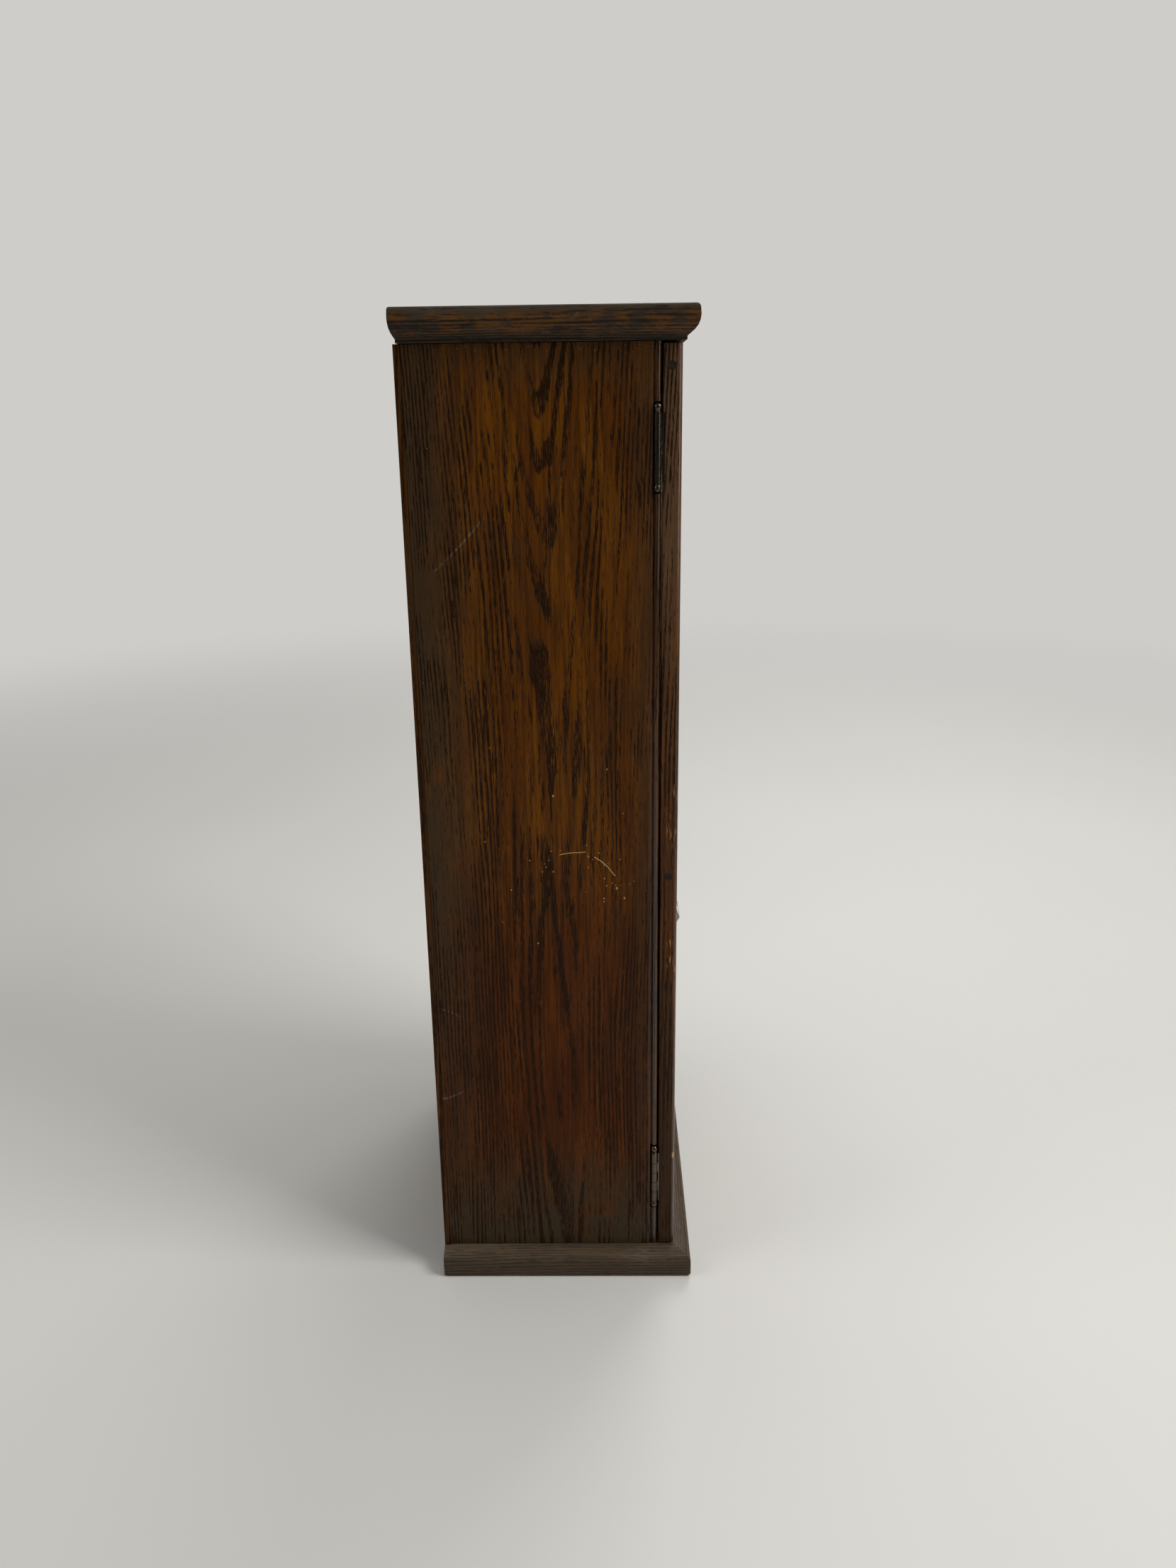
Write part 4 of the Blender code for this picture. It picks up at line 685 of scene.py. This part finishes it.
def dress_nodes():
    """Every node of the frame in its finish, with rounded edges where it isn't kept or remade."""
    finishes = {
        "side_board_left": "side", "side_board_right": "side_right", "back_board": "back",
        "base_board": "dark_base", "top_board": "dark", "seat_board": "inside", "dial_mat": "mat",
        "door_stile_left": "stile", "door_stile_right": "stile_right", "door_rail_top": "rail",
        "door_rail_middle": "rail", "door_rail_bottom": "rail", "door_panel": "panel", "glass_bead": "rail",
    }
    kept = {"dial_glass", "ink_ribbon", "dial"}
    remade = {"dial_bezel", "lever_knob", "bell", "lever_return_spring", "pendulum_bob"}
    for node in NODES:
        finish = finishes.get(node, SLOT_OF[node])
        if node in kept | remade:
            NODES[node].data.materials.clear()
            NODES[node].data.materials.append(FINISHES[finish])
        else:
            ends = {"top_board": "dark_y", "base_board": "base_y"}.get(node)
            refine(node, finish, 0.0005 if node in finishes else 0.00015, ends)


# ---------------------------------------------------------------- shapes

def point(axis, a, b, along):
    """A point given on the two axes across an axis, in the order X, Y, Z, and along the axis."""
    return {"X": (along, a, b), "Y": (a, along, b), "Z": (a, b, along)}[axis]


def add_prism(form, outline, low, high, axis="Y"):
    """A solid with a flat outline, from low to high along an axis."""
    ends = [[form.verts.new(point(axis, a, b, along)) for a, b in outline] for along in (low, high)]
    for end in ends:
        form.faces.new(end)
    count = len(outline)
    for i in range(count):
        j = (i + 1) % count
        form.faces.new((ends[0][i], ends[0][j], ends[1][j], ends[1][i]))


def add_turned(form, profile, at, axis, steps):
    """A solid turned round an axis through a point. A profile lists radius and place along the axis."""
    rings = []
    for radius, along in profile:
        ring = []
        for i in range(steps if radius else 1):
            angle = 2 * math.pi * i / steps
            offset = point(axis, radius * math.cos(angle), radius * math.sin(angle), along)
            ring.append(form.verts.new(Vector(at) + Vector(offset)))
        rings.append(ring)
    closed = bool(profile[0][0])
    pairs = zip(rings, rings[1:] + rings[:1]) if closed else zip(rings, rings[1:])
    for first, second in pairs:
        for i in range(steps):
            j = (i + 1) % steps
            picks = ((first, i), (first, j), (second, j), (second, i))
            corners = list(dict.fromkeys(ring[k % len(ring)] for ring, k in picks))
            if len(corners) > 2:
                form.faces.new(corners)


def finished(form, name, finish, body, degrees=SHARP, turn_faces=True):
    """A new piece from a form in the making. turn_faces turns every face to look outwards."""
    if turn_faces:
        bmesh.ops.recalc_face_normals(form, faces=form.faces)
    mesh = bpy.data.meshes.new(name)
    form.to_mesh(mesh)
    form.free()
    return new_piece(name, smoothed(mesh, degrees), finish, body)


def tube(name, points, radius, finish, body):
    """A round wire along a line of points."""
    curve = bpy.data.curves.new(name, "CURVE")
    curve.dimensions = "3D"
    curve.bevel_depth = radius
    curve.bevel_resolution = 3
    curve.use_fill_caps = True
    line = curve.splines.new("POLY")
    line.points.add(len(points) - 1)
    for place, to in zip(line.points, points):
        place.co = (*to, 1)
    obj = bpy.data.objects.new(name, curve)
    mesh = bpy.data.meshes.new_from_object(obj)
    bpy.data.objects.remove(obj)
    bpy.data.curves.remove(curve)
    return new_piece(name, smoothed(mesh, 60), finish, body)


def arc_points(radius, first, last, steps, centre=(0.0, 0.0)):
    """Points on an arc between two angles in degrees."""
    angles = (math.radians(first + (last - first) * i / (steps - 1)) for i in range(steps))
    return [(centre[0] + radius * math.cos(a), centre[1] + radius * math.sin(a)) for a in angles]


def disc(radius, centre):
    """A round outline."""
    return arc_points(radius, 0, 345, 24, centre)


def grid(firsts, seconds):
    """Every pair of a first and a second value."""
    return [(first, second) for first in firsts for second in seconds]


def screws(name, places, face, out, radius, finish, body):
    """Slotted screw heads at places on X and Z. They stand on the face at a given Y, out being -1 or 1."""
    form = bmesh.new()
    draw = random.Random(name)
    top = face + out * HEAD_THICK * radius
    slot_floor = face + out * (HEAD_THICK - 0.16) * radius
    rim = 0.92 * radius
    slot_edge = math.degrees(math.asin(0.13 * radius / rim))
    for a, b in places:
        turn = math.radians(draw.uniform(0, 180))
        cosine, sine = math.cos(turn), math.sin(turn)
        add_prism(form, disc(radius, (a, b)), face, slot_floor)
        for side in (0, 180):
            half = arc_points(rim, side + slot_edge, side + 180 - slot_edge, 14)
            turned = [(a + u * cosine - v * sine, b + u * sine + v * cosine) for u, v in half]
            add_prism(form, turned, slot_floor, top)
    finished(form, name, finish, body)


# ---------------------------------------------------------------- dial

def numeral_strokes(text):
    """A Roman numeral as solid outlines, one unit tall and centred across."""
    letters = {
        # each letter's width and strokes
        "I": (0.34, [[(0.09, 0), (0.25, 0), (0.25, 1), (0.09, 1)]]),
        "V": (0.74, [
            [(0.30, 0), (0.42, 0), (0.24, 1), (0.04, 1)], [(0.34, 0), (0.42, 0), (0.69, 1), (0.62, 1)],
        ]),
        "X": (0.74, [
            [(0.48, 0), (0.70, 0), (0.24, 1), (0.04, 1)], [(0.04, 0), (0.11, 0), (0.69, 1), (0.62, 1)],
        ]),
    }
    width = sum(letters[letter][0] for letter in text)
    strokes, start = [], -width / 2
    for letter in text:
        step, shapes = letters[letter]
        strokes += [[(start + x, y) for x, y in shape] for shape in shapes]
        start += step
    for low in (0.0, 0.95):
        high = low + 0.05
        strokes.append([(-width / 2, low), (width / 2, low), (width / 2, high), (-width / 2, high)])
    return strokes


def print_dial():
    """Hours in Roman numerals with their feet to the centre, and a minute track outside them."""
    tall, squeeze, foot = 0.150 * DIAL_RADIUS, 0.78, 0.665 * DIAL_RADIUS
    track_low, track_high, line = 0.865 * DIAL_RADIUS, 0.925 * DIAL_RADIUS, 0.0004
    form = bmesh.new()

    def stamp(degrees, corners):
        """Prints an outline, given across and outwards from the centre, at an angle from twelve."""
        angle = math.radians(degrees)
        out = Vector((math.sin(angle), math.cos(angle)))
        across = Vector((math.cos(angle), -math.sin(angle)))
        places = [across * x + out * y for x, y in corners]
        outline = [(DIAL_CENTRE.x + place.x, DIAL_CENTRE.z + place.y) for place in places]
        add_prism(form, outline, DIAL_LOW.y - INK_RAISED, DIAL_LOW.y + INK_SUNK)

    hours = ("I", "II", "III", "IIII", "V", "VI", "VII", "VIII", "IX", "X", "XI", "XII")
    for hour, text in enumerate(hours, 1):
        for stroke in numeral_strokes(text):
            stamp(30 * hour, [(x * tall * squeeze, foot + y * tall) for x, y in stroke])
    for radius in (track_low, track_high, 0.615 * DIAL_RADIUS):
        wide = radius + line
        ring = [(radius, -INK_RAISED), (wide, -INK_RAISED), (wide, INK_SUNK), (radius, INK_SUNK)]
        add_turned(form, ring, tuple(DIAL_CENTRE), "Y", 128)
    for minute in range(60):
        half = 0.0009 if minute % 5 == 0 else 0.00028
        stamp(6 * minute, [(-half, track_low), (half, track_low), (half, track_high), (-half, track_high)])
    finished(form, "dial_printing", "ink", "case")


def finish_dial():
    """The turned bezel, the brass eyelet round the winding square, three screws and the hands' nut."""
    low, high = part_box("dial_bezel")
    outer = (high.x - low.x) / 2
    centre, slot = tuple(DIAL_CENTRE), SLOT_OF["dial_bezel"]
    bezel = [
        (0.1020, -0.0003), (0.1045, -0.0003), (0.1045, 0.0013), (outer, 0.0013), (outer, -0.0012),
        (0.1088, -0.0021), (0.1080, -0.0024), (0.1074, -0.0023), (0.1070, -0.0030), (0.1062, -0.0042),
        (0.1050, -0.0049), (0.1038, -0.0050), (0.1028, -0.0047), (0.1021, -0.0038),
    ]
    form = bmesh.new()
    add_turned(form, bezel, centre, "Y", 128)
    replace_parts(finished(form, "turned_bezel", "brass", "case", 50), "dial_bezel")

    # where the barrel's winding square comes through the dial
    winding_square = (DIAL_CENTRE.x - 0.0276, DIAL_LOW.y, DIAL_CENTRE.z - 0.0123)
    eyelet = [(0.0050, 0.0), (0.0050, -0.0007), (0.0055, -0.0010), (0.0062, -0.0008), (0.0066, 0.0)]
    form = bmesh.new()
    add_turned(form, eyelet, winding_square, "Y", 48)
    finished(form, "winding_eyelet", "brass", "case", 50)

    places = arc_points(0.0985, 15, 255, 3, (DIAL_CENTRE.x, DIAL_CENTRE.z))
    screws("dial_screws", places, DIAL_LOW.y, -1, 0.0015, "brass", "case")

    hand_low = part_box("minute_hand")[0]
    nut = [(0.0, -0.0014), (0.0016, -0.0012), (0.0026, -0.0006), (0.0034, -0.0005), (0.0034, 0.0), (0.0, 0.0)]
    form = bmesh.new()
    add_turned(form, nut, (DIAL_CENTRE.x, hand_low.y, DIAL_CENTRE.z), "Y", 32)
    finished(form, "hand_nut", "brass", "minute_hand", 40)


# ---------------------------------------------------------------- hardware

def add_fastenings():
    """Screws in the throat plate, back board, dial mat and hinges, and the plugs of the base and door."""
    low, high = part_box("card_throat")
    inset = 0.0055
    corners = grid((low.x + inset, high.x - inset), (low.z + inset, high.z - inset))
    screws("throat_screws", corners, DOOR_FRONT, -1, 0.0024, "nickel", "door")

    low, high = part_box("back_board")
    inset = 0.008
    rows = [low.z + share * (high.z - low.z) for share in (0.03, 0.27, 0.50, 0.73, 0.97)]
    places = grid((low.x + inset, high.x - inset), rows)
    places += grid((CENTRE_X - 0.06, CENTRE_X + 0.06), (rows[0], rows[-1]))
    screws("back_screws", places, high.y, 1, 0.0032, "steel", "case")

    form = bmesh.new()
    columns = (BASE_LOW.x + 0.021, CENTRE_X, BASE_HIGH.x - 0.021)
    for place in grid(columns, (BASE_LOW.y + 0.035, BASE_HIGH.y - 0.012)):
        add_prism(form, disc(0.0045, place), 0.00002, 0.0004, "Z")
    finished(form, "base_plugs", "plug", "case")

    mat_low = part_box("dial_mat")[0]
    places = grid((CENTRE_X - 0.106, CENTRE_X + 0.106), (0.391, 0.688))  # near the mat's corners
    screws("mat_screws", places, mat_low.y, -1, 0.0023, "brass", "case")

    radius = 0.0021
    sunk = HEAD_THICK * radius - 0.00012  # the heads stand 0.12 mm out of the leaves
    for name in ("lower", "upper"):
        low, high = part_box(f"{name}_hinge_case_leaf")
        middle = (low.z + high.z) / 2
        places = [(high.x - 0.0055, middle + rise) for rise in (-0.016, 0.0, 0.016)]
        screws(f"{name}_case_leaf_screws", places, low.y + sunk, -1, radius, "bronze", "case")
        face = STILE_HIGH.y + 0.0003 - sunk
        screws(f"{name}_door_leaf_screws", places, face, 1, radius, "bronze", "door")

    form = bmesh.new()
    for place in ((DOOR_FRONT + 0.0072, 0.7240), (DOOR_FRONT + 0.0070, 0.3570)):
        add_prism(form, disc(0.0030, place), STILE_LOW.x - 0.00008, STILE_LOW.x + 0.0006, "X")
    finished(form, "door_plugs", "plug", "door")


def finish_knob():
    """The lever's knob: a collar, a neck and a ball."""
    low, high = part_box("lever_knob")
    middle = (low + high) / 2
    radius = (high.z - low.z) / 2
    ball = high.x - radius
    collar = [(0.0, 0.0), (0.0052, 0.0), (0.0058, 0.0006), (0.0058, 0.0022)]
    neck = [(0.0044, 0.0032), (0.0038, 0.0060)]
    profile = [(reach, low.x + along) for reach, along in collar + neck]
    start, steps = 0.42, 24  # the angle from the neck at which the ball begins, and its number of steps
    for i in range(steps):
        angle = start + (math.pi - start) * i / steps
        profile.append((radius * math.sin(angle), ball - radius * math.cos(angle)))
    profile.append((0.0, high.x))
    form = bmesh.new()
    add_turned(form, profile, (0, middle.y, middle.z), "X", 64)
    knob = finished(form, "turned_knob", "iron", BODY_OF["lever_knob"], 40)
    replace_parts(knob, "lever_knob")


def cut_figures():
    """Figures round the rims of the two type wheels, so low that they clear the ribbon."""
    hour_low, hour_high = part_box("hour_type_wheel")
    hour_middle = (hour_low.x + hour_high.x) / 2
    wheels = (
        # wheel, its middle on X, figures
        ("hour_type_wheel", hour_middle, [str(hour) for hour in range(1, 13)]),
        ("minute_type_wheel", hour_middle - (hour_high.x - hour_low.x + 0.0008),
         [f"{minute:02d}" for minute in range(0, 60, 5)]),
    )
    for wheel, middle, figures in wheels:
        low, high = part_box(wheel)
        radius = (high.z - low.z) / 2
        centre = Matrix.Translation((middle, (low.y + high.y) / 2, (low.z + high.z) / 2))
        form = bmesh.new()
        for i, text in enumerate(figures):
            curve = bpy.data.curves.new("figure", "FONT")
            curve.body = text
            curve.size = 0.0058
            curve.align_x, curve.align_y = "CENTER", "CENTER"
            curve.resolution_u = 2
            curve.extrude = 0.0002
            obj = bpy.data.objects.new("figure", curve)
            mesh = bpy.data.meshes.new_from_object(obj)
            turn = Matrix.Rotation(2 * math.pi * i / len(figures), 4, "X")
            stand = Matrix.Rotation(math.pi / 2, 4, "X")
            mesh.transform(centre @ turn @ Matrix.Translation((0, -radius, 0)) @ stand)
            form.from_mesh(mesh)
            bpy.data.objects.remove(obj)
            bpy.data.curves.remove(curve)
            bpy.data.meshes.remove(mesh)
        finished(form, f"{wheel}_figures", "ink", wheel, 30)


def add_dust_strip():
    """A black felt strip on the case's front edge, clear of the hinges, standing in for the shade in the gap.
    """
    x, y, wide, thick = SIDE_HIGH.x - 0.0020, SIDE_LOW.y, 0.0016, 0.0009
    outline = [(x, y - thick), (x + wide, y - thick), (x + wide, y), (x, y)]
    stops = [SIDE_LOW.z + 0.002]
    for name in ("lower", "upper"):
        low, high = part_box(f"{name}_hinge_pin")
        stops += [low.z - 0.001, high.z + 0.001]
    stops.append(SIDE_HIGH.z - 0.002)
    form = bmesh.new()
    for low, high in zip(stops[0::2], stops[1::2]):
        add_prism(form, outline, low, high, "Z")
    # painted shade: the black strip makes the gap before the door dark
    finished(form, "gap_shade_strip", "felt", "case")


def finish_bell():
    """The bell: a thin turned cup with a hole for its stand."""
    low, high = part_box("bell")
    middle = (low + high) / 2
    outer = (high.x - low.x) / 2
    tall = high.z - low.z
    hole = 0.0030 / outer
    profile = [
        # the inside from the rim up, then the outside down, as shares of the radius and the height
        (0.95, 0.0), (0.935, 0.08), (0.90, 0.27), (0.81, 0.51), (0.66, 0.74), (0.46, 0.88), (0.26, 0.92),
        (hole, 0.92), (hole, 1.0), (0.26, 1.0), (0.48, 0.96), (0.70, 0.82), (0.86, 0.58), (0.95, 0.30),
        (0.985, 0.10), (1.0, 0.0),
    ]
    form = bmesh.new()
    add_turned(form, [(r * outer, low.z + h * tall) for r, h in profile], (middle.x, middle.y, 0), "Z", 96)
    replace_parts(finished(form, "turned_bell", "nickel", "case", 60), "bell")


def finish_spring():
    """The lever's return spring: a close coil round the shaft."""
    node = "lever_return_spring"
    low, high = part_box(node)
    middle = (low + high) / 2
    wire = 0.0007
    radius = (high.z - low.z) / 2 - wire
    turns, steps = 11, 18
    start, end = low.x + wire, high.x - wire
    points = []
    for i in range(turns * steps + 1):
        share = i / (turns * steps)
        angle = 2 * math.pi * i / steps
        across, up = radius * math.cos(angle), radius * math.sin(angle)
        points.append((start + share * (end - start), middle.y + across, middle.z + up))
    spring = tube("coiled_spring", points, wire, "steel", BODY_OF[node])
    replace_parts(spring, "lever_return_spring")


def finish_bob():
    """The pendulum bob: a turned brass lens with a narrow flat rim."""
    node = "pendulum_bob"
    low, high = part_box(node)
    middle = (low + high) / 2
    radius, half, rim = (high.x - low.x) / 2, (high.y - low.y) / 2, 0.0010
    angles = [math.pi / 2 * i / 14 for i in range(15)]
    crown = [(radius * math.sin(a), max(half * math.cos(a), rim)) for a in angles]
    profile = [(r, -h) for r, h in crown] + [(r, h) for r, h in reversed(crown)]
    form = bmesh.new()
    add_turned(form, profile, tuple(middle), "Y", 96)
    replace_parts(finished(form, "turned_bob", "brass", BODY_OF[node], 40), "pendulum_bob")


# ---------------------------------------------------------------- marks of use

def add_drips():
    """A splash of varnish that ran and dried on the side, with dots thrown round it. Places are on Y, Z."""
    runs = (
        [(-0.0008, 0.3754), (-0.006, 0.3764), (-0.011, 0.3770), (-0.016, 0.3771), (-0.0207, 0.3775)],
        [(-0.0271, 0.3735), (-0.030, 0.3716), (-0.033, 0.3694), (-0.0355, 0.3672), (-0.038, 0.3645),
         (-0.042, 0.3589)],
    )
    for i, run in enumerate(runs, 1):
        points = [(SIDE_FACE + 0.00018, y, z) for y, z in run]
        tube(f"varnish_run_{i}", points, 0.00042, "varnish", "case")
    draw = random.Random(11)
    dots = []
    for i in range(26):
        angle = math.radians(draw.uniform(-15, 150))
        reach = 0.030 + draw.gauss(0, 0.006)
        y, z = -0.014 - reach * math.cos(angle), 0.350 + reach * math.sin(angle)
        dots.append((y, z, draw.uniform(0.0003, 0.0006)))
    for i in range(12):
        dots.append((draw.uniform(-0.060, 0.060), draw.uniform(0.28, 0.50), draw.uniform(0.0003, 0.0006)))
    dots += [(-0.0441, 0.3478, 0.0009), (-0.0500, 0.3396, 0.0008), (0.0030, 0.4223, 0.0008)]
    form = bmesh.new()
    for y, z, radius in dots:
        squash = Matrix.Translation((SIDE_FACE, y, z)) @ Matrix.Diagonal((0.00025, radius, radius * 1.15, 1))
        bmesh.ops.create_icosphere(form, subdivisions=2, radius=1, matrix=squash)
    finished(form, "varnish_dots", "varnish", "case", 180)


# ---------------------------------------------------------------- build

bpy.context.scene.view_settings.view_transform = "Standard"
FINISHES = make_finishes()
make_camera()
make_lights()
make_world()
make_floor()
dress_nodes()
print_dial()
finish_dial()
add_fastenings()
finish_knob()
cut_figures()
add_dust_strip()
finish_bell()
finish_spring()
finish_bob()
add_drips()
